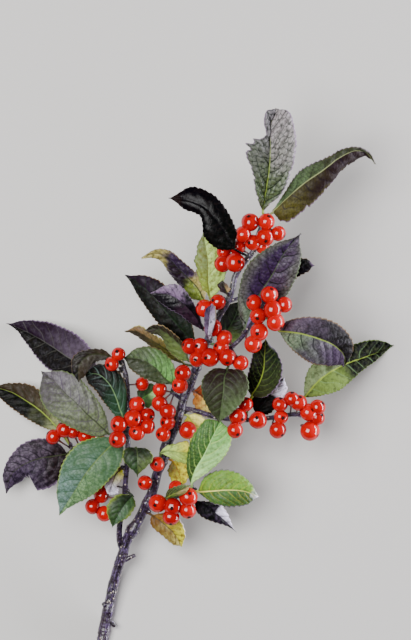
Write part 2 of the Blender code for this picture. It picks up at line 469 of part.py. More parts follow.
def mesh_object(name, vertices, faces):
    """A closed mesh object, from vertices in millimetres."""
    mesh = bpy.data.meshes.new(name)
    mesh.from_pydata([Vector(v) * MM for v in vertices], [], faces)
    shape = bmesh.new()
    shape.from_mesh(mesh)
    bmesh.ops.recalc_face_normals(shape, faces=shape.faces)
    bmesh.ops.triangulate(shape, faces=[f for f in shape.faces if len(f.verts) > 4])
    shape.to_mesh(mesh)
    shape.free()
    made = bpy.data.objects.new(name, mesh)
    bpy.context.scene.collection.objects.link(made)
    return made


def skin(rings):
    """Faces between rings of equal point count, split alike all round, with both ends closed."""
    faces = [tuple(rings[0])[::-1]]
    for low, high in zip(rings, rings[1:]):
        for i in range(len(low)):
            j = (i + 1) % len(low)
            faces += [(low[i], low[j], high[i]), (high[i], low[j], high[j])]
    faces.append(tuple(rings[-1]))
    return faces


def fuse(name, pieces):
    """One solid from closed pieces that run into one another."""
    base, others = pieces[0], pieces[1:]
    base.name = name
    if others:
        group = bpy.data.collections.new(name + "_pieces")
        for piece in others:
            bpy.context.scene.collection.objects.unlink(piece)
            group.objects.link(piece)
        union = base.modifiers.new("union", "BOOLEAN")
        union.operation = "UNION"
        union.operand_type = "COLLECTION"
        union.collection = group
        union.solver = "EXACT"
        depsgraph = bpy.context.evaluated_depsgraph_get()
        fused = bpy.data.meshes.new_from_object(base.evaluated_get(depsgraph))
        base.modifiers.clear()
        base.data = fused
        for piece in others:
            bpy.data.objects.remove(piece)
        bpy.data.collections.remove(group)
    keep_outer_body(base)
    return base


def keep_outer_body(fused):
    """Drop the loose scraps and sealed hollows of a union: only its largest shell stays."""
    shape = bmesh.new()
    shape.from_mesh(fused.data)
    bmesh.ops.remove_doubles(shape, verts=shape.verts, dist=1e-6)
    bmesh.ops.triangulate(shape, faces=shape.faces)
    left = set(shape.faces)
    shells = []
    while left:
        front = [left.pop()]
        shell = set(front)
        while front:
            near = {f for edge in front.pop().edges for f in edge.link_faces} & left
            left -= near
            shell |= near
            front += near
        shells.append(shell)
    largest = max(shells, key=len)
    bmesh.ops.delete(shape, geom=[f for f in shape.faces if f not in largest], context="FACES")
    shape.to_mesh(fused.data)
    shape.free()


def finish(made, colour, roughness):
    """Give an object its own plain material."""
    material = bpy.data.materials.new(made.name)
    material.use_nodes = True
    shader = material.node_tree.nodes["Principled BSDF"]
    shader.inputs["Base Color"].default_value = (*colour, 1.0)
    shader.inputs["Roughness"].default_value = roughness
    shader.inputs["Metallic"].default_value = 0.0
    made.data.materials.clear()
    made.data.materials.append(material)


# Wood -----------------------------------------------------------------------------------------

def wood_rings(points):
    """Centres and radii of a stem's rings, one about every WOOD_STEP millimetres."""
    count = max(2, round(length_of([p[:3] for p in points]) / WOOD_STEP))
    rows = [smooth(points, k / count) for k in range(count + 1)]
    return [(row[:3], row[3] / 2) for row in rows]


def tube(name, rings, sides):
    """A closed tube through rings of (centre, radius), flat underneath where it meets the surface."""
    centres = [np.array(c) for c, _ in rings]
    side = unit(np.cross(centres[1] - centres[0], (0.0, 0.0, 1.0)) + np.array((1e-6, 0.0, 0.0)))
    vertices = []
    for k, (_, radius) in enumerate(rings):
        along = unit(centres[min(k + 1, len(rings) - 1)] - centres[max(k - 1, 0)])
        side = unit(side - along * np.dot(side, along))
        up = np.cross(side, along)
        for i in range(sides):
            turn = 2 * math.pi * (i + 0.5) / sides
            spoke = math.cos(turn) * side + math.sin(turn) * up
            vertex = centres[k] + radius * spoke
            vertices.append((vertex[0], vertex[1], max(vertex[2], 0.0)))
    rows = [range(k * sides, (k + 1) * sides) for k in range(len(rings))]
    return mesh_object(name, vertices, skin(rows))


def axis_samples():
    """Close points along the straight lengths between the wood's rings, with the radius at each."""
    centres, radii = [], []
    for _, _, points in WOOD:
        rings = wood_rings(points)
        for (low, low_radius), (high, high_radius) in zip(rings, rings[1:]):
            for share in np.linspace(0.0, 1.0, AXIS_SPLIT, endpoint=False):
                centres.append(low + (high - low) * share)
                radii.append(low_radius + (high_radius - low_radius) * share)
        centres.append(rings[-1][0])
        radii.append(rings[-1][1])
    return np.array(centres), np.array(radii)


def nearest_axis(place, axes):
    """The nearest point on the wood's axis, and the wood's radius there."""
    away = np.linalg.norm(axes[0] - place, axis=1)
    k = int(np.argmin(away))
    return axes[0][k], axes[1][k]


def pedicel(berry, axes):
    """A berry's stalk, from the axis of the nearest wood to just short of the berry."""
    centre, radius = np.array(berry[:3]), berry[3] / 2
    root, _ = nearest_axis(centre, axes)
    end = centre + unit(root - centre) * (radius + SEAT)
    return tube("pedicel", [(root, PEDICEL / 2), (end, PEDICEL / 2)], 3)


def swollen_ring(place, axes):
    """A ringed node: a short thicker collar round the stem."""
    k = int(np.argmin(np.linalg.norm(axes[0] - np.array(place), axis=1)))
    along = unit(axes[0][k + 1] - axes[0][k - 1])
    return tube("ring", [(axes[0][k] + along * s, axes[1][k] + out) for s, out in NODE_COLLAR], 8)


def make_wood(axes):
    """The stem with its twigs, stubs, ringed nodes and berry stalks, as one solid."""
    pieces = [tube(name, wood_rings(points), sides) for name, sides, points in WOOD]
    pieces += [tube("stub", [(np.array(p[:3]), p[3] / 2) for p in points], 5) for points in STUBS]
    pieces += [swollen_ring(place, axes) for place in RINGED_NODES]
    for _, bunch in BERRIES:
        pieces += [pedicel(berry, axes) for berry in bunch if len(berry) == 4]
    finish(fuse("stem", pieces), BARK, 0.42)


# Leaves ---------------------------------------------------------------------------------------

def seated_stalk(route, axes):
    """Rings of a leaf's stalk, from just clear of the wood that carries it to the foot of the blade."""
    root, _ = nearest_axis(np.array(route[0]), axes)
    route = [root] + [np.array(p, dtype=float) for p in route[1:]]
    count = round(length_of(route) / 0.1)
    path = [smooth(route, k / count) for k in range(count + 1)]
    start = 0
    for k in range(count):
        nearest, radius = nearest_axis(path[k], axes)
        out = path[k] - nearest
        slant = np.linalg.norm(np.cross(unit(path[k + 1] - path[k]), unit(out)))
        if np.linalg.norm(out) - radius < SEAT + slant * STALK / 2:
            start = k + 1
    rings = max(1, round((count - start) * 0.1 / STALK_STEP))
    return [path[start + round(k * (count - start) / rings)] for k in range(rings)]


def side_point(edge, middle, share, lift):
    """A point on a leaf's margin: its place in plan, and its height from the midrib's."""
    plan = [middle[0][:2]] + [p[:2] for p in edge] + [middle[-1][:2]]
    rise = [0.0] + [p[2] if len(p) > 2 else lift for p in edge] + [0.0]
    flat = smooth([(x, y, z) for (x, y), z in zip(plan, rise)], share)
    rib = smooth(middle, share)
    return np.array((flat[0], flat[1], rib[2] + flat[2]))


def leaf_rows(middle, left, right, lift):
    """Left margin, midrib and right margin at every row of a blade, toothed along both margins."""
    rows = max(8, 2 * round(length_of(middle) / TOOTH_STEP / 2))
    blade = []
    for k in range(1, rows):
        share = k / rows
        rib = smooth(middle, share)
        ends = [side_point(edge, middle, share, z) for edge, z in ((left, lift[0]), (right, lift[1]))]
        tooth = TOOTH * (1 if k % 2 else -1) * math.sin(math.pi * share)
        ends = [p + unit(p - rib) * tooth for p in ends]
        blade.append((ends[0], rib, ends[1]))
    tip = np.array(middle[-1], dtype=float)
    across = unit(blade[-1][2] - blade[-1][0]) * TIP_WIDTH / 2
    blade.append((tip - across, tip, tip + across))
    return blade


def blade_normals(blade, k):
    """The upward normals of the left margin, the midrib and the right margin at row k."""
    ahead, behind = blade[min(k + 1, len(blade) - 1)], blade[max(k - 1, 0)]
    left, rib, right = blade[k]
    along = [a - b for a, b in zip(ahead, behind)]
    n_left = unit(np.cross(along[1], left - rib))
    n_right = unit(np.cross(right - rib, along[1]))
    return n_left, unit(n_left + n_right), n_right


def make_leaf(name, kind, stalk, middle, left, right, lift, axes):
    """One leaf: a stalk and a blade as thick as BLADE, with six points to a ring."""
    blade = leaf_rows(middle, left, right, lift)
    normals = [blade_normals(blade, k) for k in range(len(blade))]
    flip = -1.0 if sum(n[1][2] for n in normals) < 0 else 1.0
    rings = []
    route = list(stalk) + [middle[0]]
    stalk_rings = seated_stalk(route, axes) + [np.array(middle[0], dtype=float)]
    ahead = stalk_rings[1:] + [blade[0][1]]
    across = unit(blade[0][2] - blade[0][0])
    for centre, nxt in zip(stalk_rings, ahead):
        along = unit(nxt - centre)
        side = unit(across - along * np.dot(across, along))
        up = unit(np.cross(side, along)) * flip
        if np.dot(up, normals[0][1] * flip) < 0:
            up = -up
        rings.append([centre + STALK / 2 * (u * side + v * up) for u, v in STALK_RING])
    for points, normal in zip(blade, normals):
        half = [n * flip * BLADE / 2 for n in normal]
        top = [p + h for p, h in zip(points, half)]
        under = [p - h for p, h in zip(points, half)]
        rings.append(top + under[::-1])
    vertices = [on_surface(p, i < 3) for ring in rings for i, p in enumerate(ring)]
    rows = [range(k * 6, (k + 1) * 6) for k in range(len(rings))]
    made = mesh_object(name, vertices, blade_faces(rows))
    finish(made, LEAF_COLOURS[kind], 0.45)


def on_surface(place, is_top):
    """Keep a point above the surface: the underside may touch it, the upper side stands off it."""
    return (place[0], place[1], max(place[2], BLADE if is_top else 0.0))


def blade_faces(rows):
    """The faces of a leaf: its upper and lower quads are split along the same diagonals."""
    faces = [tuple(rows[0])[::-1]]
    for low, high in zip(rows, rows[1:]):
        for i in range(6):
            j = (i + 1) % 6
            if i < 2:
                faces += [(low[i], low[j], high[j]), (low[i], high[j], high[i])]
            else:
                faces += [(low[i], low[j], high[i]), (high[i], low[j], high[j])]
    faces.append(tuple(rows[-1]))
    return faces


# Berries --------------------------------------------------------------------------------------

def make_berry(berry, axes):
    """One round berry, a little flattened along its stalk."""
    centre, radius = np.array(berry[:3]), berry[3] / 2
    root, _ = nearest_axis(centre, axes)
    up = unit(centre - root)
    side = unit(np.cross(up, (0.0, 1.0, 0.1)))
    front = np.cross(up, side)
    vertices = [centre - up * radius * BERRY_HEIGHT]
    for ring in range(1, BERRY_RINGS):
        rise = math.pi * ring / BERRY_RINGS
        for i in range(BERRY_SIDES):
            turn = 2 * math.pi * (i + 0.5 * (ring % 2)) / BERRY_SIDES
            flat = math.cos(turn) * side + math.sin(turn) * front
            vertices.append(centre + radius * (math.sin(rise) * flat - math.cos(rise) * BERRY_HEIGHT * up))
    vertices.append(centre + up * radius * BERRY_HEIGHT)
    top = len(vertices) - 1
    faces = []
    for i in range(BERRY_SIDES):
        j = (i + 1) % BERRY_SIDES
        faces.append((0, 1 + j, 1 + i))
        for ring in range(BERRY_RINGS - 2):
            low, high = 1 + ring * BERRY_SIDES, 1 + (ring + 1) * BERRY_SIDES
            shared = j if ring % 2 == 0 else i
            faces += [(low + i, low + j, high + shared), (high + i, high + j, low + (i + j - shared))]
        last = 1 + (BERRY_RINGS - 2) * BERRY_SIDES
        faces.append((last + i, last + j, top))
    return mesh_object("berry", vertices, faces)


def make_berries(axes):
    """Every bunch of berries that touch one another, as one solid."""
    for name, bunch in BERRIES:
        made = fuse(name, [make_berry(berry, axes) for berry in bunch])
        finish(made, BERRY_RED, 0.22)


def centre_on_footprint():
    """Shift everything so that the origin is under the middle of the branch."""
    shapes = [o for o in bpy.data.objects if o.type == "MESH"]
    corners = np.array([v.co for o in shapes for v in o.data.vertices])
    low, high = corners.min(axis=0), corners.max(axis=0)
    shift = Vector(((low[0] + high[0]) / 2, (low[1] + high[1]) / 2, low[2]))
    for shape in shapes:
        for vertex in shape.data.vertices:
            vertex.co = vertex.co - shift


def main():
    for old in list(bpy.data.objects):
        bpy.data.objects.remove(old)
    axes = axis_samples()
    make_wood(axes)
    for name, kind, stalk, middle, left, right, lift in LEAVES:
        make_leaf(name, kind, stalk, middle, left, right, lift, axes)
    make_berries(axes)
    centre_on_footprint()


main()
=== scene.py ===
"""The looks of the winterberry branch: waxy veined leaves, glossy red berries and dotted bark.

Every CAD solid is replaced by a finer piece built from the same tables: thin quilted leaf blades with
sunken veins and toothed margins, round berries with a dark calyx on each, and one piece of bark with its
ringed nodes, buds and berry stalks. The camera looks straight down on the branch.

Tables are in millimetres on the drawing grid of the part's source. place() moves them to the frame.
"""

from dataclasses import dataclass
import math
import zlib

import bpy
import numpy as np
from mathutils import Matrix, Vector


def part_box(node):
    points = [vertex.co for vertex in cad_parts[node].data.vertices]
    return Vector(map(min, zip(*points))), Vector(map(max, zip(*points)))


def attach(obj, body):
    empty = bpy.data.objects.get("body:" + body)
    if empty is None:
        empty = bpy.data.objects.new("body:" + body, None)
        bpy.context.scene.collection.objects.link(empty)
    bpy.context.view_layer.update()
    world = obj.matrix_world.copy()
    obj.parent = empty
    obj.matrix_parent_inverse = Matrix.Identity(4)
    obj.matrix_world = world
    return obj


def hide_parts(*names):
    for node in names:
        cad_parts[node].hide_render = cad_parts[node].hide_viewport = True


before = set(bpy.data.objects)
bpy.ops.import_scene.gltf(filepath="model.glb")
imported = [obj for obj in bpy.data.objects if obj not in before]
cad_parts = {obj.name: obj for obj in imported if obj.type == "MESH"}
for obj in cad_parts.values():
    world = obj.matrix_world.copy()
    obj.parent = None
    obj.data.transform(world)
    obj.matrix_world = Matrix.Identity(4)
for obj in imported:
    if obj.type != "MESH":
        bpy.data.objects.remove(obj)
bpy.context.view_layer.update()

MM = 0.001

# Driving dimensions, in millimetres.
BLADE = 0.34            # thickness of a leaf blade
STALK = 1.05            # diameter of a leaf stalk
STALK_STEP = 0.6        # distance between its rings
GRID_STEP = 0.36        # distance between the rows of points along a blade
GRID_ACROSS = 0.52      # distance between the points across it
TOOTH = 0.62            # how far a margin's teeth stand out
TOOTH_GAP = 2.1         # from one tooth to the next
VEIN_GAP = (3.2, 6.8)   # between the side veins, along the midrib, on small and on large leaves
NET_CELL = 1.5          # size of the cells of the vein net
WAVE = 0.35             # how far a margin waves up and down
WOOD_STEP = 0.6         # distance between the rings of the bark
STUB_STEP = 0.5         # distance between the rings of a stub
BUD = 1.9               # size of a bud
BERRY_STALK = 0.40      # radius of a berry's stalk
DOT = 0.80              # radius of the dark calyx on a berry
GROOVE = 0.3            # depth of the groove over a midrib
NODE_RING = 0.45        # height of the middle ring of a ringed node
NODE_RIM = 0.22         # and of the low rings beside it
OVER_FLOOR = 0.02       # the least height of a blade above the surface the branch lies on
CUT_OVER_FLOOR = 0.03   # and of a cut

# How far from its middle the colour of a side vein, of the net and of the midrib begins and ends to fade.
VEIN_FADES = ((0.14, 0.42), (0.06, 0.24), (0.16, 0.42))

# Sizes as shares of other sizes.
QUILT = 0.07            # height of a blade between its side veins, of the gap between them
BULGE = 0.075           # height of half a blade, of its width
RIDGES = 0.05           # height of the bark's ridges, of the wood's radius there
KNOBS = 0.12            # and of its swellings
DIMPLES = (0.06, 0.07)  # depth of a berry's dimples at its calyx and its stalk, of its radius
BERRY_HEIGHT = 0.96     # height of a berry along its stalk, of its width
# The rings of a calyx: radius and height, as shares of DOT. The rings of a cut: how far ahead of the
# wood's end, in millimetres, and radius as a share of the wood's.
CALYX_RINGS = ((1.05, -0.25), (1.0, 0.1), (0.6, 0.2), (0.2, 0.12))
CUT_RINGS = ((-0.05, 0.93), (0.10, 0.90), (0.16, 0.82), (0.10, 0.30), (0.04, 0.12))

# Numbers of faces and points.
ROUND = 8               # faces round a stalk or a bud
STUB_SIDES = 14
CUT_SIDES = 18
BERRY_RINGS, BERRY_SIDES = 20, 30
LOBES = 5               # lobes of a calyx
LATTICE = 32            # size of the lattices of random numbers

# Each stem: name, number of sides, and points along its axis, each with the diameter there.
WOOD = (
    ("stem", 8, ((45, -5.5, 2.2, 5), (46.5, 3.5, 2.25, 5), (48, 11, 3.6, 4.9), (49.5, 18, 4.9, 4.8),
      (51, 25, 6.4, 4.8), (53, 32.5, 8.6, 4.7), (55, 38, 10.2, 4.7), (57, 44.5, 12.2, 4.7),
      (59.5, 49, 13.8, 5.3), (62.5, 54, 15.4, 4.6), (66, 61, 17.9, 4.5), (68.5, 66.5, 19.8, 4.4),
      (71, 75.5, 22.6, 4.4), (73, 80, 24, 4.3), (74.5, 87, 26, 4.3), (77, 92, 27.4, 4.2),
      (79, 97, 28.6, 4.2), (81, 102.5, 29.7, 4.1), (83, 110, 31, 4), (85.5, 115, 31.9, 3.9),
      (88.5, 122.5, 33, 3.7), (91.5, 130.5, 34.1, 3.5), (95, 138.5, 35.2, 3.3), (98.5, 146, 36, 3.1),
      (102, 151.5, 36.7, 2.9), (104.5, 157.5, 37.4, 2.8), (106, 164, 38.2, 2.7), (110, 170, 39.3, 2.6),
      (112.5, 173, 39.9, 2.4), (115, 177, 40.5, 2.3), (116, 182, 41.1, 2.2), (118, 187, 41.7, 2.1),
      (119, 190.5, 42, 1.9))),
    ("left", 6, ((56, 38, 10.6, 2.6), (54, 42, 11.6, 2.6), (53.5, 49, 14, 2.6), (54.5, 56, 17, 2.6),
      (56, 64.5, 20.8, 2.6), (56.5, 72, 24, 2.5), (57.5, 83, 28.2, 2.5), (57.5, 93.5, 29.9, 2.4),
      (57.5, 107, 31.4, 2.3), (57, 117, 31.9, 2.2), (55, 126, 32, 2))),
    ("far_left", 5, ((57.5, 92.5, 29.8, 1.8), (53, 91, 25, 1.8), (48.5, 89, 19.5, 1.7),
      (43.5, 88, 16.6, 1.6), (38, 87, 14.6, 1.6), (31.5, 86, 13, 1.5))),
    ("right", 6, ((81.5, 104.5, 30, 2.4), (86.5, 103.5, 30, 2.4), (97, 100.5, 29.6, 2.3),
      (110, 99, 28.4, 2.2), (122.5, 100, 26.2, 2.1), (128, 101, 25, 2.1), (136, 101, 23.4, 2),
      (141, 97, 22, 1.9))),
    ("upper_right", 6, ((89.5, 125, 33.3, 2.2), (95.5, 127, 35, 2.2), (101, 129.5, 37, 2.1),
      (105.5, 133, 39, 2), (109.5, 137, 41, 1.9), (113.5, 143, 45, 1.8), (116, 146.5, 46.6, 1.7),
      (119.5, 151.5, 48, 1.6))),
    ("behind", 5, ((103.5, 152.5, 36.8, 1.6), (108, 154, 35.4, 1.6), (115, 155.5, 34, 1.5),
      (122.5, 157.5, 33.4, 1.4))),
    ("oval_twig", 5, ((82.5, 108, 30.6, 1.8), (79.5, 110, 32, 1.7), (77.5, 111.5, 33.2, 1.6))),
    ("low", 5, ((66.5, 61.5, 18.2, 2.2), (71, 62.5, 19.4, 2.1), (77.5, 64, 21, 2), (82.5, 65, 22.4, 1.9),
      (86.5, 67.5, 23.8, 1.7))),
)

# Short stubs of broken twigs, as points with diameters.
STUBS = (
    ((48, 12.5, 3.9, 3), (46.5, 15.5, 6, 2.4)),
    ((48.5, 8, 3.4, 2.4), (51.5, 5, 3.4, 1.8)),
    ((55.5, 35, 9, 2.4), (60.5, 37.5, 10.5, 1.6)),
)

# Places of the ringed nodes, on the stem's axis.
RINGED_NODES = ((60, 49, 13.8), (47, 3.5, 2.7), (66, 61, 17.9), (73, 80, 24), (79, 97, 28.6),
                (88.5, 122.5, 33))

# Each leaf: name, colour, how high its left and its right margin lie over its midrib, its stalk from the
# wood, its midrib from base to tip, and its left and its right margin (a third value is a height instead).
LEAVES = (
    ("leaf_crown", "greyed", (1.5, 1.5), ((118.5, 189.5, 42.2),),
     ((118, 192.5, 43.5), (119.5, 201.5, 47), (121, 211.5, 51), (121.5, 220.5, 53), (121.5, 229.5, 53),
      (124, 238.5, 51)),
     ((115.5, 199), (113.5, 210), (111, 220.5), (114.5, 223.5), (118, 226), (118.5, 232), (120, 237.5)),
     ((121.5, 195.5), (126.5, 200.5), (130.5, 209.5), (133, 219.5), (132.5, 228.5), (129, 237.5))),
    ("leaf_upper_right", "bronze", (1, -2), ((119, 189.5, 41),),
     ((122.5, 192.5, 41), (130.5, 200, 43), (137, 205.5, 44), (145, 211, 44), (153, 217, 42),
      (160, 220, 39), (165, 219, 36), (169, 214, 34)),
     ((127, 199.5), (135, 211), (146, 216.5), (155, 221), (162, 221.5), (166.5, 219)),
     ((127.5, 187.5), (135, 191.5), (144, 199.5), (152, 209), (158.5, 215), (164, 217.5))),
    ("leaf_black_upper", "black", (-1.5, -1.5), ((112, 172.5, 40), (110.5, 173, 47), (108.5, 174, 50.5)),
     ((105.5, 175.5, 52), (101.5, 182, 53), (97, 189, 54), (92, 194.5, 54), (85, 197.5, 53),
      (76, 198.5, 49)),
     ((99, 175.5), (92, 181), (90, 190.5), (83, 193.5)),
     ((106, 183.5), (102.5, 192), (96, 200), (87, 203.5))),
    ("leaf_pale_upper", "pale", (-1, -1), ((103, 153, 36), (98.5, 152.5, 34)),
     ((94.5, 153.5, 33.5), (93.5, 161.5, 36), (93.5, 170, 38), (92.5, 177.5, 39), (91.5, 184, 39)),
     ((90, 160), (87.5, 169.5), (89, 178)),
     ((98.5, 157), (101.5, 164.5), (101, 172.5), (97, 178.5))),
    ("leaf_twisted", "olive", (0, 0), ((101.5, 150, 34.8), (97, 150.5, 31)),
     ((92, 152.5, 28.5), (88.5, 159, 30), (83.5, 164, 34), (79, 168.5, 39), (75, 172.5, 42),
      (70.5, 174, 42.5), (63.5, 171.5, 42)),
     ((86.5, 153.5, -1), (81, 159, -5), (76, 165.5, -6), (72, 171, -4), (67.5, 171.5, -1)),
     ((93, 160, 0), (88, 165.5, 1), (82, 170.5, 4), (75.5, 175.5, 4), (69, 175.5, 2))),
    ("leaf_dark_left", "dark", (1, -2), ((91.5, 131, 33.6),),
     ((88, 133.5, 31), (81, 140.5, 32), (74, 148.5, 32), (67.5, 156, 30), (61, 161.5, 27), (56, 164.5, 24)),
     ((86.5, 142), (80, 153), (72, 161.5), (63, 164.5)),
     ((81.5, 134), (71.5, 142), (65.5, 150), (60, 158.5))),
    ("leaf_violet_left", "violet", (2, -2), ((96.5, 139, 35.2),),
     ((91.5, 139.5, 35), (88, 146, 38), (83, 151, 40), (77, 155, 40), (71.5, 156, 38), (67.5, 156, 36)),
     ((89.5, 146.5), (86.5, 153), (79.5, 160), (73.5, 159)),
     ((86.5, 142), (81, 146.5), (75.5, 149.5), (70.5, 153))),
    ("leaf_arc", "green", (0, 0), ((88.5, 124, 33.3),),
     ((85, 125.5, 34), (82.5, 130.5, 36.5), (77.5, 136, 38.5), (71, 140, 39), (65, 139.5, 36)),
     ((83.5, 131.5, 0), (78.5, 138, 2), (71.5, 142, 2), (67.5, 141.5, 1)),
     ((81, 126, -1), (76, 130, -4), (72, 137, -5), (68, 138, -3))),
    ("leaf_thin", "olive", (0, 0), ((88, 123.5, 31),),
     ((83, 124, 28), (75, 130.5, 28), (67.5, 135.5, 29.5), (61.5, 139, 29), (56, 139, 26)),
     ((76.5, 132.5, 1), (68.5, 138, 1), (62, 141.5, 1)),
     ((74.5, 127, -3), (66.5, 133, -4), (61, 137, -4))),
    ("leaf_oval_left", "green", (-1, 0), ((77.5, 112, 33.4),),
     ((78, 115, 35.6), (74, 118, 38), (70, 122.5, 40), (64.5, 126, 40), (55.5, 127, 37)),
     ((79, 121), (75.5, 128), (68.5, 132), (61, 131)),
     ((72, 115.5), (64.5, 118), (58, 123))),
    ("leaf_purple_far_left", "violet", (1, 1), ((56, 121, 31.4), (50, 120, 27.5)),
     ((44, 119, 24), (37, 123.5, 20), (30.5, 127, 15), (24.5, 131, 9.5), (18, 135, 4.5), (12.5, 138, 1),
      (7, 140.5, 0.2), (2, 142.5, 0.2)),
     ((42, 128.5), (35.5, 136.5), (27, 141, 0.8), (19, 143.5, 0.4), (12.5, 144, 0), (6.5, 144, 0)),
     ((34.5, 119), (22.5, 121, 0.6), (16, 127, 0), (11, 133.5, 0), (6.5, 139, 0))),
    ("leaf_drooping", "bronze", (-1, -2), ((55.5, 124.5, 32), (53, 125, 33.5)),
     ((51, 127, 35.5), (46, 128.5, 38), (40, 128, 40.5), (36, 124, 41), (35.5, 116, 38.5)),
     ((47, 130.5), (39.5, 130.5), (33.5, 128), (32.5, 121.5)),
     ((48, 126.5), (44, 125.5), (40.5, 122.5), (38, 118.5))),
    ("leaf_black_left", "black", (-1, -1), ((57.5, 96, 31),),
     ((56.5, 97.5, 33), (54, 104, 35.5), (52, 110, 37), (49.5, 115, 38), (45.5, 119, 37), (38, 120, 32.5)),
     ((52, 101), (47, 107), (42.5, 113), (38.5, 117)),
     ((57, 104), (57, 112.5), (54.5, 119.5), (48, 124), (41.5, 123.5))),
    ("leaf_broad_left", "greyed", (0.5, -2), ((57.5, 94, 29.8), (53.5, 92.5, 28)),
     ((49, 92.5, 27.5), (44.5, 97, 30), (39.5, 101.5, 32), (34, 107, 32), (29, 111.5, 30),
      (24.5, 116.5, 27), (18.5, 121, 24)),
     ((48, 100), (41, 112), (34, 119), (25, 121.5)),
     ((44, 91.5), (36, 94), (27, 98.5), (19, 106.5), (17.5, 115))),
    ("leaf_long_left", "violet", (0.5, 0.5), ((32, 86, 13.1),),
     ((27, 93.5, 14.5), (22.5, 98.5, 13.5), (17, 103.5, 11), (11, 107.5, 8), (5, 111, 5.5),
      (-5.5, 114, 3.5)),
     ((25, 101.5), (20, 109.5), (13.5, 114.5), (4.5, 115.5)),
     ((21.5, 94.5), (13, 98.5), (4, 104.5), (-2, 110))),
    ("leaf_torn", "violet", (0, -1.5), ((34, 86, 13.5),),
     ((30, 83.5, 14), (24.5, 82.5, 14.5), (18, 81.5, 15), (11, 79, 14.5), (5, 74.5, 12.5), (2, 65.5, 9)),
     ((27, 87.5), (18.5, 90.5), (9, 87.5), (3, 80.5), (0.5, 72)),
     ((26, 71), (20, 67.5), (15, 67), (12, 74), (9, 71), (5, 68.5))),
    ("leaf_green_left", "green", (-1, -1), ((57.5, 88.5, 29),),
     ((55, 90.5, 31), (49.5, 87, 34), (44.5, 82, 35), (39.5, 76, 34), (34, 67.5, 30), (26.5, 56, 24)),
     ((45.5, 91.5), (35.5, 88.5), (29.5, 82), (26.5, 73), (25.5, 64)),
     ((55.5, 84), (54, 78.5), (49, 72), (39.5, 64), (32, 60))),
    ("leaf_heart_small", "dark", (-1, -1), ((57, 81.5, 27.8), (59, 84.5, 32)),
     ((61.5, 86.5, 36), (62, 82.5, 40), (62, 78, 40), (62, 73.5, 36)),
     ((57, 86.5), (55, 81.5), (58, 76)),
     ((66.5, 86), (69.5, 81), (66, 76))),
    ("leaf_small_low", "green", (-0.5, -0.5), ((56, 67, 22), (58, 66, 24)),
     ((59.5, 65, 25), (56, 61, 27.5), (53, 56, 27.5), (50.5, 50.5, 25)),
     ((53.5, 65.5), (48, 60), (47.5, 54)),
     ((61, 61), (58, 55.5), (54, 52))),
    ("leaf_shrivelled", "olive", (0, -1), ((56.5, 77, 25.6),),
     ((55, 77, 26.5), (52.5, 75, 27.5), (51, 71.5, 27), (50, 68, 25.5), (53, 65.5, 25)),
     ((52.5, 79), (48.5, 74.5), (47, 69.5), (49.5, 65)),
     ((55.5, 74), (54, 71), (52.5, 69), (53.5, 67.5))),
    ("leaf_yellow", "golden", (0, 0), ((73.5, 82, 24.2), (75.5, 81.5, 23)),
     ((77.5, 80.5, 22.5), (79.5, 77.5, 22), (81, 73.5, 21), (81, 68.5, 19)),
     ((75.5, 76.5), (77.5, 71)),
     ((83, 80), (85, 75.5), (84, 71))),
    ("leaf_lime", "pale", (0, 0), ((73.5, 81.5, 24.5),),
     ((72, 84, 28.6), (75, 85, 29.8), (80, 84.5, 29), (85.5, 84.5, 27)),
     ((74.5, 87), (79.5, 88.5), (84.5, 89.5)),
     ((74.5, 83), (79.5, 80.5), (84.5, 79.5))),
    ("leaf_cream", "pale", (0, 0), ((81.5, 102.5, 29.2),),
     ((84.5, 101, 26.8), (87, 97, 25), (88.5, 92.5, 23.5), (89.5, 88.5, 21)),
     ((83, 98.5), (83, 93.5), (86, 89.5)),
     ((89, 102), (93, 98), (92.5, 92))),
    ("leaf_two_tone", "green", (-1, 1), ((86, 67.5, 24.6),),
     ((86, 70, 27), (88, 76.5, 32), (92, 83.5, 36), (95.5, 91, 38), (99.5, 99, 38)),
     ((84, 78), (85, 87), (89, 95.5), (94, 100)),
     ((89.5, 72.5), (96.5, 78), (101.5, 83.5), (104, 90), (103, 96))),
    ("leaf_heart_centre", "bronze", (-1, -1), ((101, 129, 36.8), (103, 125, 37)),
     ((102.5, 122, 42), (101, 118, 47), (100.5, 111.5, 49), (99.5, 105, 48), (98.5, 98, 45)),
     ((97, 122.5), (91, 117), (91.5, 109.5), (95, 102.5)),
     ((109.5, 121, 1), (112, 115.5), (109.5, 108.5), (103.5, 102))),
    ("leaf_oval_low", "green", (-1, -1), ((86.5, 67.5, 23.6),),
     ((89, 66.5, 26), (95.5, 67, 30), (102, 67.5, 32), (109.5, 67, 31), (116.5, 64.5, 28)),
     ((92, 73), (99, 76.5), (107, 75.5), (113, 70.5)),
     ((95.5, 61.5), (105, 60), (112.5, 61.5))),
    ("leaf_black_low", "black", (0, 0), ((83.5, 65.5, 22),),
     ((87.5, 62.5, 20.5), (93, 59.5, 21), (100, 54.5, 19), (106.5, 48, 14)),
     ((94, 62), (101, 60), (105.5, 54)),
     ((88.5, 57.5), (93.5, 53.5), (101, 49.5))),
    ("leaf_golden", "golden", (0.5, -1.5), ((65, 58, 17.6),),
     ((68, 56, 18.5), (73, 52.5, 20), (78, 48, 20), (82, 41.5, 17)),
     ((73, 57), (80.5, 54.5), (83.5, 47)),
     ((67.5, 52), (73, 46.5), (79, 42))),
    ("leaf_strip_low", "green", (0, 0), ((75, 63, 20.6),),
     ((75, 63.5, 27), (76.5, 65, 35.5), (81, 67.5, 38), (86, 70, 38)),
     ((75.5, 67, 1), (81.5, 70, 2)),
     ((77.5, 64.5, 0), (83, 66, -1))),
    ("leaf_black_centre", "black", (-1, -1.5), ((110.5, 99, 28.6), (112, 105.5, 30)),
     ((113, 110, 33.5), (116.5, 115.5, 38), (118.5, 121.5, 41), (119, 128.5, 42), (119.5, 135.5, 41)),
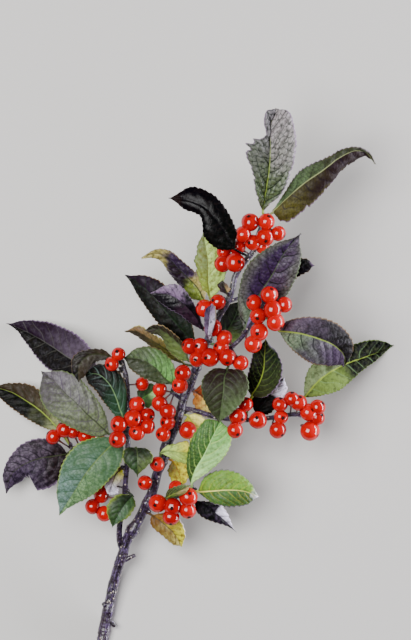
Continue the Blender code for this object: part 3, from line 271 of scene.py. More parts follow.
     ((111, 115), (112.5, 123.5), (115, 131.5)),
     ((119, 109.5), (124.5, 114), (127, 121.5), (124, 130.5))),
    ("leaf_dark_centre", "dark", (0, 0), ((113, 99, 27.6),),
     ((115, 102, 26.5), (118.5, 106.5, 27), (122.5, 111.5, 27.5), (128, 118, 26)),
     ((113, 107.5), (117, 112.5), (123.5, 117)),
     ((120.5, 101.5), (126.5, 107.5), (129.5, 113.5))),
    ("leaf_violet_centre", "violet", (-1, -1.5), ((109, 136.5, 41),),
     ((110, 139.5, 38.5), (112, 146, 39), (115.5, 153.5, 41), (119, 159, 44), (122.5, 164.5, 49),
      (128, 174.5, 54), (135, 182.5, 56)),
     ((107.5, 146.5), (108, 160), (112, 169.5), (119, 175.5, 0), (128, 180, 0)),
     ((118, 143), (128.5, 154.5), (133.5, 164.5), (135.5, 173.5))),
    ("leaf_black_behind", "black", (0, 0), ((122, 157.5, 33.4),),
     ((124, 159.5, 34), (129, 163.5, 37), (135, 167.5, 37), (141.5, 168.5, 34)),
     ((127.5, 166), (133.5, 171.5), (138.5, 171.5)),
     ((129, 160), (135, 164), (139, 166))),
    ("leaf_right_upper", "violet", (-1, -2), ((118.5, 149.5, 47.6), (121.5, 143, 45.5)),
     ((125.5, 139, 46), (134.5, 138, 49), (143.5, 135.5, 47), (151, 132, 41), (155, 127, 35),
      (154.5, 123, 32)),
     ((128.5, 143), (135, 145), (144, 145), (152, 142), (158.5, 134.5), (158.5, 128)),
     ((128.5, 134), (134.5, 128), (140.5, 124.5), (147.5, 123.5))),
    ("leaf_right_lower", "bronze", (-1, 0.5), ((135.5, 101.5, 23.6), (136.5, 105.5, 24.5)),
     ((137, 109, 26), (144, 117, 26), (154.5, 123.5, 20), (163, 126.5, 11), (170, 129, 3.5),
      (174.5, 130.5, 0.4), (178, 132.5, 0.2)),
     ((137, 115), (140.5, 124), (149.5, 129.5), (159, 133), (168.5, 135, 0.5), (175.5, 135, 0)),
     ((142, 109.5), (152, 112), (162, 120, 0.3), (173, 128, 0))),
    ("leaf_back_centre", "dark", (0, 0), ((93.5, 134, 33), (96.5, 133, 30)),
     ((98.5, 133.5, 27), (102.5, 139.5, 25), (106, 146, 25), (108, 153, 26)),
     ((97, 139), (99.5, 146), (104, 151.5)),
     ((105.5, 133), (110, 139.5), (111, 148))),
    ("leaf_olive_small", "olive", (0, 0), ((104.5, 154.5, 37.2),),
     ((102.5, 155.5, 39.5), (101, 159, 40.3), (100, 162, 40)),
     ((99, 157), (98, 160)),
     ((103.5, 158), (102, 160))),
    ("leaf_edge_centre", "violet", (0, 0), ((94, 134, 34.8),),
     ((94, 134.5, 38.7), (93.5, 137.5, 47), (94, 141.5, 50), (94.5, 146, 52), (95.5, 151.5, 52)),
     ((93, 138, 1), (92, 145, -2), (93, 149.5, -1.5)),
     ((95.5, 138.5, 3.5), (97, 144.5, 6), (97, 149.5, 5))),
    ("leaf_back_left", "green", (0, 0), ((57.5, 107, 31.5), (60, 107.5, 28.5)),
     ((62, 107.5, 26.5), (66, 110, 25), (71, 114, 23)),
     ((62, 112.5), (67.5, 115.5)),
     ((66, 104.5), (71, 108))),
    ("leaf_dried", "golden", (0, 0), ((84.5, 112.5, 31),),
     ((87, 112, 29.5), (91, 109.5, 27), (94, 104.5, 24.5), (96, 99.5, 22)),
     ((91.5, 115), (96, 109.5), (97, 103.5)),
     ((86.5, 107.5), (89.5, 103), (93, 100))),
)

# Each bunch of berries that touch: the centre and the diameter of every berry. False: its stalk is hidden.
BERRIES = (
    ("berries_crown", ((112.5, 187.75, 48, 8.3), (119.75, 188, 48.5, 7.6), (109.25, 182.25, 49, 7.6, False),
      (119.25, 181, 48, 8.1), (125, 182.75, 47, 7), (113.5, 178.75, 47, 7.2), (118, 176.75, 44, 6.3))),
    ("berries_upper", ((100.25, 169.25, 44, 8.1), (105.75, 169.75, 47, 9), (107, 176.5, 44.5, 7.2),
      (100.75, 174.75, 43, 6.8))),
    ("berries_mid_upper", ((92, 149.25, 43, 8.1), (98, 152, 42.5, 7.2))),
    ("berries_middle", ((95.75, 140.5, 42, 8.1), (101, 136, 41.5, 7.2), (99.5, 131.5, 41.5, 7.2),
      (102.25, 127.25, 43, 7.9), (94.5, 127.25, 43, 8.6), (90, 132.25, 41, 7.6),
      (85.5, 132.25, 41, 7.6, False), (88.75, 126.5, 42, 7.2), (108.25, 124.75, 42, 7.2))),
    ("berries_pair", ((82.25, 120.25, 45, 7.6), (81, 114.75, 44, 7.4, False))),
    ("berries_right_upper", ((121, 155.25, 54, 7.9), (114.25, 151.75, 52.5, 7.2), (122.5, 148.5, 54.5, 8.6),
      (127.75, 150.75, 52, 7.2, False), (116, 145.75, 53, 7.4), (123.75, 143, 55, 8.1, False),
      (116.5, 138.75, 52, 8.1), (113.75, 133.25, 50, 8.1))),
    ("berries_centre_low", ((107, 100.75, 39.5, 8.1), (105.75, 94.5, 42.5, 7.2),
      (110.5, 106.25, 38.5, 6.8))),
    ("berry_centre_right", ((116, 99, 35, 8.1),)),
    ("berries_right", ((126, 106, 32, 7), (131.25, 108.5, 32, 7), (134.5, 106.75, 31.5, 7.6),
      (126.5, 100.25, 31, 6.5), (139, 102.5, 30.5, 8.1), (143, 104.75, 31, 7.2, False),
      (142.75, 100.25, 29, 7.2, False), (139.5, 94, 29, 9.2), (125, 94.5, 30, 7.9))),
    ("berries_left_inner", ((72, 112.75, 34.3, 6.8), (72, 106.5, 35.5, 7.6), (75.5, 103, 38, 7.6),
      (75.5, 98, 36, 7), (73.5, 92.75, 35.5, 7))),
    ("berries_left", ((61.75, 106, 36.5, 7.4), (60, 99.75, 39, 8.3), (66.5, 101.25, 37.5, 6.8),
      (66.5, 96.25, 38, 7), (61.75, 93.5, 38, 7.4), (53, 90.5, 40.5, 7.9, False),
      (53.5, 97.25, 40.5, 7.6, False))),
    ("berries_far_left", ((23.75, 91.25, 20, 7), (28.75, 94.5, 21, 7.6), (32.75, 93.5, 21, 6.3),
      (38.25, 91.75, 21.5, 7), (43.75, 91, 22.5, 6.8))),
    ("berries_left_top", ((53.5, 128.75, 41.5, 6.3), (50.5, 124.25, 41.5, 6.5, False))),
    ("berry_behind_oval", ((64, 115.25, 32, 6.3),)),
    ("berries_low_left", ((41.5, 59.75, 20, 7.2, False), (46.75, 56.5, 20, 7.4), (45.5, 64.75, 19, 7.2),
      (48, 70.25, 18.5, 7))),
    ("berry_stem_upper", ((70.75, 79.25, 33, 6.8),)),
    ("berry_stem_lower", ((65.25, 70.75, 30, 6.8),)),
    ("berries_low", ((79.25, 68.5, 31.5, 7), (84.75, 64.5, 32.5, 8.6), (77.75, 60, 31, 8.1),
      (77, 55.25, 30, 7.6), (71, 61.5, 30.5, 8.3), (84.5, 58.25, 30.5, 7.6))),
    ("berry_cream", ((84.5, 94.5, 31.5, 8.1),)),
)

# Where the dark calyx of a berry shows from above, on the drawing grid.
CALYX_DOTS = (
    (111.75, 190.5), (121, 190.5), (119.5, 179), (107.75, 170), (115.5, 137.75), (126.5, 148.25),
    (78.75, 114.75), (60.5, 94.25), (68.25, 100.5), (51.25, 89.25), (70.25, 79.25), (77.25, 59.25),
    (85.5, 66.25), (82, 70.25), (109.25, 99.25), (107, 92.5), (115.5, 100.25), (143.25, 91.75),
    (127.25, 92), (116.5, 131.25),
)

# Colours, as 0 to 255 sRGB numbers.
PALETTE = {
    "night": (3, 5, 3), "ink": (4, 2, 7), "deep": (12, 24, 12), "forest": (24, 40, 20),
    "pine": (38, 72, 46), "leaf": (46, 76, 34), "clover": (70, 100, 68), "fresh": (62, 104, 46),
    "grass": (94, 114, 54), "spring": (98, 140, 50), "mint": (110, 170, 84), "pear": (172, 204, 104),
    "pale_green": (184, 236, 150), "jade": (114, 146, 98), "frosted": (104, 130, 122),
    "grey_green": (104, 120, 94), "pewter": (78, 78, 72), "grey": (150, 142, 144), "ash": (106, 102, 106),
    "sage": (76, 92, 58), "moss": (46, 52, 30), "olive": (94, 92, 34), "lime": (134, 154, 56),
    "lemon": (196, 190, 52), "cream_leaf": (236, 230, 124), "straw": (178, 166, 92),
    "khaki": (176, 146, 100), "tan": (122, 96, 66), "amber": (98, 64, 10), "ochre": (140, 98, 28),
    "caramel": (178, 108, 44), "rust": (128, 48, 14), "brown": (52, 42, 28), "umber": (28, 16, 14),
    "plum": (26, 8, 30), "aubergine": (46, 26, 62), "violet": (66, 52, 74), "dusk": (84, 72, 88),
    # The white and the lavender glare colours and the pale sheen colour on the next line are painted
    # highlights and sheen on the leaves.
    "lavender": (126, 104, 134), "frost": (226, 220, 240), "painted_sheen": (136, 124, 140),
    "under": (104, 118, 80), "underrib": (150, 158, 108), "bark": (18, 8, 20), "bark_warm": (44, 24, 40),
    "bark_grey": (84, 60, 110), "bark_sheen": (114, 92, 144), "cream": (196, 182, 170),
    "scarlet": (182, 0, 3), "crimson": (150, 0, 3), "vermilion": (194, 2, 0), "deep_red_and_shade": (60, 0, 2),
    "peach": (228, 84, 50), "stalk": (96, 34, 22), "calyx": (3, 1, 2), "calyx_warm": (16, 8, 8),
    "floor": (200, 197, 194), "floor_light": (206, 204, 201),
}


@dataclass
class Look:
    """How a leaf looks. Pairs of colours and of numbers run from the base to the tip, or left to right."""
    left: str                       # colours of its left half, from base to tip
    right: str                      # colours of its right half
    vein: str
    rib: str = ""                   # colour of the midrib, where it isn't the veins'
    # colour of a thin rim along the margin; in the glare colours a painted edge highlight
    rim: str = "tan"
    edge: tuple = ()                # a colour towards the margin, and where it starts
    tip: tuple = ()                 # a colour at the tip, and where it starts; in the glare colours a painted highlight
    turn: tuple = (0.15, 0.85)      # from where to where the base's colour turns into the tip's
    spots: str = "umber"
    mottled: float = 0.45           # how strong the spots are
    painted_sheen: float = 0.0              # how strong the painted sheen is: pale mottling that stands for glare
    veined: float = 0.5             # how strongly the veins are coloured
    netted: float = 0.3             # how much of that the small veins have
    quilt: float = 1.0              # how high the blade rises between its veins
    puckered: float = 0.07          # how high it rises between the small veins
    cell: float = NET_CELL
    crisp: float = 0.25             # how strong the fine relief is
    rough: float = 0.36
    shine: float = 0.2
    point: tuple = (0.4, 0.8)       # how much the tip narrows, and from where
    ragged: tuple = (0.15, 0.15)    # how nibbled each margin is
    bites_left: tuple = ()          # places torn away: where, reach, depth (below 0: a spike)
    bites_right: tuple = ()


# The look of each leaf, by its name. The white and lavender glare colours in them are painted highlights.
LOOKS = {
    # Painted edge highlight: its lavender rim.
    "leaf_crown": Look("sage ash", "sage grey", "deep", rib="lime", rim="lavender", painted_sheen=0.15, veined=1,
        netted=0.8, quilt=1.5, puckered=0.16, cell=2, rough=0.28, shine=0.3, point=(0, 0.8),
        ragged=(0.5, 0.4), bites_left=((26.2, 0.8, 1.5), (28, 1, -2.6), (31.3, 1, -2.2), (36, 4, 1.5))),
    # Painted edge highlight: its lavender rim.
    "leaf_upper_right": Look("jade moss", "olive umber", "bark", rib="underrib", rim="lavender",
        edge=("olive", 0.8), turn=(-0.3, 0.6), painted_sheen=0.05, veined=0.7, netted=0.5, quilt=0.7, shine=0.08,
        ragged=(0.1, 0.9)),
    "leaf_black_upper": Look("night ink", "night ink", "ink", rim="umber", tip=("umber", 0.8),
        mottled=0.2, quilt=0.25, puckered=0, crisp=0.1, rough=0.2, shine=0.1),
    "leaf_pale_upper": Look("lime under", "pear pear", "olive", rim="plum", spots="olive", mottled=0.9,
        painted_sheen=0.08, netted=0.5, ragged=(0.6, 0.1)),
    "leaf_twisted": Look("lime plum", "straw aubergine", "moss", tip=("straw", 0.6), turn=(0.3, 0.45),
        mottled=0.6, painted_sheen=0.3),
    "leaf_dark_left": Look("deep plum", "night night", "forest", painted_sheen=0.05, quilt=0.6, puckered=0.02,
        shine=0.08),
    # Painted highlight: a lavender glare band on the left half, broken by dark spots, and a lavender rim.
    "leaf_violet_left": Look("ink lavender", "bark_warm ink", "ink", rim="lavender", tip=("ink", 0.84),
        turn=(0.42, 0.55), spots="ink", mottled=0.9, painted_sheen=0.05, quilt=0.6, puckered=0, rough=0.26),
    "leaf_arc": Look("brown umber", "grass bark_warm", "sage", rim="khaki"),
    "leaf_thin": Look("olive tan", "olive brown", "moss", rim="cream_leaf", edge=("straw", 0.75)),
    "leaf_oval_left": Look("mint sage", "sage moss", "forest", rib="moss", turn=(-0.1, 0.75), painted_sheen=0.1,
        veined=0.7),
    # Painted edge highlight: its lavender rim.
    "leaf_purple_far_left": Look("dusk plum", "ink night", "pewter", rim="lavender", turn=(0.1, 0.7),
        painted_sheen=0.06, veined=0.4, netted=0.12, shine=0.1),
    "leaf_drooping": Look("brown ink", "pewter brown", "moss", painted_sheen=0.1),
    "leaf_black_left": Look("pine night", "pine night", "frosted", rib="jade", turn=(0.1, 0.7),
        painted_sheen=0.05, veined=0.35, netted=0.1, shine=0.1),
    "leaf_broad_left": Look("under ash", "under pewter", "violet", rib="moss", rim="grass",
        edge=("grass", 0.85), painted_sheen=0.2, veined=0.7, netted=0.55),
    "leaf_long_left": Look("underrib brown", "underrib night", "forest", rib="lime", turn=(-0.1, 0.5),
        painted_sheen=0.05, shine=0.1),
    # Painted edge highlight: its lavender rim.
    "leaf_torn": Look("umber dusk", "umber violet", "ink", rib="moss", rim="lavender", turn=(0.1, 0.6),
        spots="ink", mottled=0.7, painted_sheen=0.15, veined=0.8, netted=0.6, quilt=0.8, shine=0.1,
        ragged=(0.1, 0.1), bites_right=((20, 0.7, 5.6), (21.3, 1.7, 6.2), (23.6, 2.4, 3.2))),
    "leaf_green_left": Look("clover frosted", "clover jade", "pine", rib="grass", rim="lime",
        spots="leaf", mottled=0.7, painted_sheen=0.08, veined=0.8, netted=0.6),
    "leaf_heart_small": Look("forest leaf", "forest grass", "deep", rib="sage", rim="lime", painted_sheen=0.08,
        veined=0.8, point=(0.85, 0.35)),
    "leaf_small_low": Look("forest leaf", "leaf clover", "deep", rim="lime", edge=("lime", 0.7),
        painted_sheen=0.08, netted=0.5, point=(0.6, 0.5)),
    # Painted highlight: both halves turn glare white towards the tip.
    "leaf_shrivelled": Look("ochre frost", "lemon frost", "brown"),
    "leaf_yellow": Look("olive lemon", "lemon lemon", "ochre", spots="amber", mottled=0.9),
    "leaf_lime": Look("pear lemon", "pear lime", "sage", veined=0.4),
    "leaf_cream": Look("lemon cream_leaf", "cream_leaf cream_leaf", "lime", spots="lemon"),
    "leaf_two_tone": Look("leaf fresh", "pale_green mint", "pear", rib="pale_green", rim="lime",
        veined=0.6, netted=0.15),
    "leaf_heart_centre": Look("umber moss", "umber sage", "sage", rim="sage", painted_sheen=0.04, veined=0.4,
        netted=0.15, shine=0.1),
    # Painted highlights: a glare white tip and a lavender rim.
    "leaf_oval_low": Look("spring spring", "fresh leaf", "lemon", rib="cream_leaf", rim="lavender",
        edge=("fresh", 0.85), tip=("frost", 0.87), veined=0.25),
    # Painted highlight: the left half turns glare white past its middle.
    "leaf_black_low": Look("night frost", "night ink", "ink", turn=(0.5, 0.6), spots="violet", shine=0.1,
        point=(0.85, 0.35)),
    # Painted edge highlight: its white rim.
    "leaf_golden": Look("ochre lemon", "amber straw", "brown", rim="frost", spots="amber", mottled=0.8),
    "leaf_strip_low": Look("moss sage", "leaf khaki", "lime", turn=(0.4, 0.9)),
    # Painted highlights: a glare white tip and a lavender rim.
    "leaf_black_centre": Look("night night", "moss deep", "grass", rib="lime", rim="lavender",
        tip=("frost", 0.93), veined=0.35, netted=0.25, shine=0.05),
    # Painted highlight: the right half turns glare white past its middle.
    "leaf_dark_centre": Look("night ink", "night frost", "ink", turn=(0.45, 0.6), shine=0.05),
    "leaf_violet_centre": Look("grey_green aubergine", "bark_sheen violet", "night", rib="sage",
        rim="sage", edge=("pewter", 0.4), turn=(0.12, 0.38), painted_sheen=0.15, veined=1, netted=0.5, quilt=1.3,
        puckered=0.06),
    # Painted highlight: a lavender tip.
    "leaf_black_behind": Look("night night", "ink ink", "ink", tip=("lavender", 0.85), shine=0.05),
    "leaf_right_upper": Look("dusk night", "grey_green violet", "ink", rib="lime", edge=("pewter", 0.85),
        turn=(0.2, 0.65), painted_sheen=0.1, veined=0.8, netted=0.5, shine=0.1),
    "leaf_right_lower": Look("under night", "grass night", "jade", rib="lime", rim="grass",
        turn=(0.3, 0.55), spots="moss", mottled=0.8, veined=0.3, netted=0, quilt=1.3, shine=0.03),
    "leaf_back_centre": Look("night night", "grass night", "leaf", turn=(0.1, 0.6)),
    "leaf_olive_small": Look("bark_warm umber", "khaki bark_warm", "moss"),
    # Painted highlights: the blade seen edge-on is lavender and white glare.
    "leaf_edge_centre": Look("lavender aubergine", "frost lavender", "plum", spots="ink", mottled=0.9,
        rough=0.28),
    "leaf_back_left": Look("forest leaf", "leaf pale_green", "fresh", turn=(0.5, 0.9)),
    "leaf_dried": Look("rust rust", "caramel cream_leaf", "brown", spots="rust", mottled=0.9,
        ragged=(0.8, 0.8)),
}


# Numbers

def unit(vectors):
    """Vectors along the last axis, at length 1."""
    return vectors / np.maximum(np.linalg.norm(vectors, axis=-1, keepdims=True), 1e-9)


def steps(points):
    """The distance from each point of a run to the next."""
    return np.linalg.norm(np.diff(np.array(points, dtype=float), axis=0), axis=1)


def length_of(points):
    """The length of a run of points."""
    return float(steps(points).sum())


def run_along(points):
    """How far along a run of points each of them is."""
    return np.concatenate([[0.0], np.cumsum(steps(points))])


def smooth(points, shares):
    """Points on the curve through all the given points, at shares (0 to 1) of its chord length."""
    pts = np.array(points, dtype=float)
    knots = run_along(pts)
    at = np.clip(shares, 0.0, 1.0) * knots[-1]
    k = np.clip(np.searchsorted(knots, at, side="right") - 1, 0, len(pts) - 2)
    slopes = np.gradient(pts, knots, axis=0)
    h = (knots[k + 1] - knots[k])[:, None]
    u = (at - knots[k])[:, None] / h
    start = (2 * u**3 - 3 * u**2 + 1) * pts[k] + (u**3 - 2 * u**2 + u) * h * slopes[k]
    end = (3 * u**2 - 2 * u**3) * pts[k + 1] + (u**3 - u**2) * h * slopes[k + 1]
    return start + end


def ease(value, low, high):
    """0 below low, 1 above high, and a smooth step between."""
    share = np.clip((value - low) / (high - low), 0.0, 1.0)
    return share * share * (3 - 2 * share)


def seeded(name):
    """A random source of its own for each piece."""
    return np.random.default_rng(zlib.crc32(name.encode()))


def wavy(x, y, rng):
    """Soft random values between -1 and 1 over a plane, changing over about one unit."""
    lattice = rng.uniform(-1.0, 1.0, (LATTICE, LATTICE))
    i, j = np.floor(x).astype(int), np.floor(y).astype(int)
    u, v = ease(x - i, 0.0, 1.0), ease(y - j, 0.0, 1.0)
    low, high = (lattice[i % LATTICE, (j + b) % LATTICE] * (1 - u)
                 + lattice[(i + 1) % LATTICE, (j + b) % LATTICE] * u for b in (0, 1))
    return low * (1 - v) + high * v


def net_distance(x, y, cell, rng):
    """About how far a point is from the lines of a random net with cells of a given size."""
    seeds = rng.uniform(0.12, 0.88, (LATTICE, LATTICE, 2))
    i, j = np.floor(x / cell).astype(int), np.floor(y / cell).astype(int)
    nearest = second = np.full(x.shape, 9e9)
    for a in (-1, 0, 1):
        for b in (-1, 0, 1):
            seed = seeds[(i + a) % LATTICE, (j + b) % LATTICE]
            away = np.hypot((i + a + seed[..., 0]) * cell - x, (j + b + seed[..., 1]) * cell - y)
            second = np.minimum(second, np.maximum(nearest, away))
            nearest = np.minimum(nearest, away)
    return (second - nearest) / 2


# Pieces

class Shape:
    """Points, faces and per-point values of one piece, gathered part by part."""

    def __init__(self):
        self.points, self.growth, self.veins, self.faces, self.finishes = [], [], [], [], []
        self.count = 0

    def add(self, points, faces, growth=(0.0, 0.0, 0.0), finish=0, veins=(9.0, 9.0, 9.0)):
        """One more part: growth and veins hold three numbers for each point."""
        self.points.append(points.reshape(-1, 3))
        self.growth.append(np.broadcast_to(growth, points.shape).reshape(-1, 3))
        self.veins.append(np.broadcast_to(veins, points.shape).reshape(-1, 3))
        self.faces += [tuple(self.count + k for k in face) for face in faces]
        self.finishes += [finish] * len(faces)
        self.count += len(self.points[-1])

    def piece(self, name, materials):
        """The finished object. Its points move from the drawing grid to the frame."""
        mesh = bpy.data.meshes.new(name)
        mesh.from_pydata(place(np.concatenate(self.points)).tolist(), [], self.faces)
        for material in materials:
            mesh.materials.append(material)
        mesh.polygons.foreach_set("material_index", self.finishes)
        mesh.polygons.foreach_set("use_smooth", [True] * len(self.faces))
        for key, values in (("growth", self.growth), ("veins", self.veins)):
            layer = mesh.attributes.new(key, "FLOAT_VECTOR", "POINT")
            layer.data.foreach_set("vector", np.concatenate(values).ravel())
        made = bpy.data.objects.new(name, mesh)
        bpy.context.scene.collection.objects.link(made)
        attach(made, "root")
        return made


def values_at(points, *values):
    """Three values for each point of a grid."""
    return np.stack([np.broadcast_to(value, points.shape[:-1]) for value in values], axis=-1)


def grid_faces(rows, columns, closed=False, start=0, flip=False):
    """Quads over a grid of points. A closed grid joins its last column to its first."""
    faces = []
    for r in range(rows - 1):
        for c in range(columns if closed else columns - 1):
            a, b = start + r * columns + c, start + r * columns + (c + 1) % columns
            face = (a, b, b + columns, a + columns)
            faces.append(face[::-1] if flip else face)
    return faces


def tube_faces(rings, sides, flip=False):
    """The faces of a closed tube: those round it, then its first and its last end."""
    ends = [tuple(range(sides)), tuple(range((rings - 1) * sides, rings * sides))[::-1]]
    return grid_faces(rings, sides, closed=True, flip=flip) + [end if flip else end[::-1] for end in ends]


def drawing_shift():
    """From the drawing grid to the frame, in millimetres: the mean over all the bunches of berries."""
    shifts = []
    for name, bunch in BERRIES:
        spheres = np.array([berry[:4] for berry in bunch])
        low = (spheres[:, :3] - spheres[:, 3:] / 2).min(axis=0)
        high = (spheres[:, :3] + spheres[:, 3:] / 2).max(axis=0)
        box = np.array([tuple(corner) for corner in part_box(name)]) / MM
        shifts.append(box.mean(axis=0) - (low + high) / 2)
    return np.mean(shifts, axis=0) * (1.0, 1.0, 0.0)


SHIFT = drawing_shift()


def place(points):
    """Points on the drawing grid, moved to the frame and into metres."""
    return (np.asarray(points) + SHIFT) * MM


def turns(sides, start=0.0):
    """The angles of points round a circle."""
    return 2 * math.pi * (np.arange(sides) + start) / sides


def circle(angles, side, front):
    """Directions at angles round a circle."""
    return np.cos(angles)[..., None] * side + np.sin(angles)[..., None] * front


def sideways(forward):
    """A level direction across another one."""
    return unit(np.cross(forward, (0.0, 0.0, 1.0)) + np.array((1e-6, 0.0, 0.0)))


def tube(centres, radii, sides=ROUND):
    """Points and faces of a closed tube. radii is one per ring, or one per ring and side."""
    centres = np.asarray(centres, dtype=float)
    radii = np.broadcast_to(np.asarray(radii).reshape(len(centres), -1), (len(centres), sides))
    along = unit(np.gradient(centres, axis=0))
    side = sideways(along[0])
    rings = []
    for centre, forward, radius in zip(centres, along, radii):
        side = unit(side - forward * np.dot(side, forward))
        rings.append(centre + radius[:, None] * circle(turns(sides, 0.5), side, np.cross(side, forward)))
    return np.array(rings), tube_faces(len(centres), sides, flip=True)


# Wood

def wood_axis(points, step=WOOD_STEP):
    """Centres and radii along a stem or a twig."""
    count = max(3, round(length_of([p[:3] for p in points]) / step))
    rows = smooth(points, np.linspace(0.0, 1.0, count + 1))
    return rows[:, :3], rows[:, 3] / 2


AXIS = [np.concatenate(parts) for parts in zip(*(wood_axis(points) for _, _, points in WOOD))]


def nearest_wood(where):
    """The nearest point on the wood's axis, and the wood's radius there."""
    k = int(np.argmin(np.linalg.norm(AXIS[0] - where, axis=1)))
    return AXIS[0][k], AXIS[1][k]


def bark_rings(centres, radii, sides, rng):
    """Radii round a stem: ridges along it, knobbly swellings, ringed nodes and low bumps."""
    run = run_along(centres)
    x, y = np.meshgrid(run, np.arange(sides) / sides, indexing="ij")
    ridges = wavy(x / 6.0, y * 9.0, rng) * RIDGES + wavy(x / 1.2, y * 6.0, rng) * RIDGES
    knobs = np.maximum(wavy(x / 4.5, y * 0.0, rng), 0.0) * KNOBS
    out = radii[:, None] * (1.0 + ridges + knobs)
    for node in RINGED_NODES:
        away = np.linalg.norm(centres - np.array(node), axis=1)
        k = int(np.argmin(away))
        if away[k] < 1.0:
            reach = np.abs(run - run[k])
            ring = np.exp(-((reach / 0.8) ** 2)) * NODE_RING \
                + np.exp(-(((reach - 1.7) / 0.4) ** 2)) * NODE_RIM
            out += ring[:, None] * (1.0 + 0.5 * wavy(x / 0.8, y * 9.0, rng))
    return out


def add_bud(shape, root, direction):
    """A small pointed bud: a short tube that swells and closes."""
    shares = np.linspace(0.0, 1.0, 9)
    radii = BUD * 0.5 * np.sin(math.pi * np.clip(0.18 + shares * 0.8, 0, 1)) ** 0.8 + 0.02
    shape.add(*tube(root + np.outer(shares * BUD * 1.5, direction), radii))


def add_cut_end(shape, centres, radii, finish):
    """The cut or broken face at the last of a run of centres, in a material of the piece."""
    forward = unit(centres[-1] - centres[-2])
    side = sideways(forward)
    spokes = circle(turns(CUT_SIDES), side, np.cross(side, forward))
    points = np.array([centres[-1] + forward * ahead + radii[-1] * wide * spokes
                       for ahead, wide in CUT_RINGS])
    points[..., 2] = np.maximum(points[..., 2], CUT_OVER_FLOOR)
    faces = tube_faces(len(CUT_RINGS), CUT_SIDES, flip=True)
    faces.pop(-2)                       # the first ring is inside the wood and stays open
    shape.add(points, faces, values_at(points, [[wide] for _, wide in CUT_RINGS], 0.0, 0.0), finish)


def add_berry_stalk(shape, start, end, leave, arrive):
    """A berry's stalk: it leaves the wood, bends, and widens under the berry."""
    shares = np.linspace(0.0, 1.0, 12)[:, None]
    reach = np.linalg.norm(end - start) * 0.4
    first, second = start + leave * reach, end - arrive * reach
    path = (1 - shares) ** 3 * start + 3 * (1 - shares) ** 2 * shares * first \
        + 3 * (1 - shares) * shares ** 2 * second + shares ** 3 * end
    radii = BERRY_STALK + 0.22 * ease(shares[:, 0], 0.82, 1.0) + 0.25 * (1 - ease(shares[:, 0], 0.0, 0.15))
    points, faces = tube(path, radii)
    shape.add(points, faces, values_at(points, shares, 0.0, 0.0), finish=1)


def add_stems(shape):
    """The stem and its twigs, with the stubs. The stem's foot is a pale cut, which is material 2."""
    for name, sides, points in WOOD:
        centres, radii = wood_axis(points)
        around = sides * 3 + 4
        points, faces = tube(centres, bark_rings(centres, radii, around, seeded(name)), around)
        points[..., 2] = np.maximum(points[..., 2], 0.0)
        angles = turns(around, 0.5)
        run = run_along(centres)[:, None]
        shape.add(points, faces, values_at(points, run, np.cos(angles), np.sin(angles)))
        if name == WOOD[0][0]:
            add_cut_end(shape, centres[::-1], radii[::-1], 2)
    for number, points in enumerate(STUBS):
        centres, radii = wood_axis(points, STUB_STEP)
        bumps = seeded(f"stub{number}").uniform(-0.12, 0.12, (len(radii), STUB_SIDES))
        shape.add(*tube(centres, radii[:, None] * (1.0 + bumps), STUB_SIDES))
        add_cut_end(shape, centres, radii, 0)


def make_wood():
    """The wood with its bark, nodes, stubs and buds, and all the berry stalks."""
    shape = Shape()
    add_stems(shape)
    for _, _, _, stalk, middle, *_ in LEAVES:
        root, radius = nearest_wood(np.array(stalk[0]))
        leave = unit(np.array((*stalk, middle[0])[1]) - root)
        add_bud(shape, root + leave * radius * 0.7, unit(leave + np.array((0.2, 0.6, 0.5))))
    for berry in (berry for _, bunch in BERRIES for berry in bunch if len(berry) == 4):
        centre, size, up = berry_frame(berry)
        root, radius = nearest_wood(centre)
        end = centre - up * size * 0.93
        leave = unit(unit(end - root) + unit(centre - root))
        add_berry_stalk(shape, root + leave * radius * 0.6, end, leave, up)
    made = shape.piece("branch_wood", [bark_material(), stalk_material(), cut_material()])
    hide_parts("stem")


# Berries

def berry_frame(berry):
    """A berry's centre, radius and the way its calyx points: to a dot that shows, or from the wood."""
    centre, size = np.array(berry[:3]), berry[3] / 2
    for dot in CALYX_DOTS:
        flat = (np.array(dot) - centre[:2]) / size
        if np.hypot(*flat) < 0.97 and is_top_berry(centre, dot):
            return centre, size, np.array((*flat, math.sqrt(1.0 - flat @ flat)))
    root, _ = nearest_wood(centre)
    return centre, size, unit(unit(centre - root) + np.array((0.0, 0.0, -0.35)))


def is_top_berry(centre, dot):
    """Whether no other berry lies over this one at a dot."""
    return not any(math.hypot(dot[0] - x, dot[1] - y) < size / 2 and z > centre[2] + 0.01
                   for _, bunch in BERRIES for x, y, z, size, *_ in bunch)


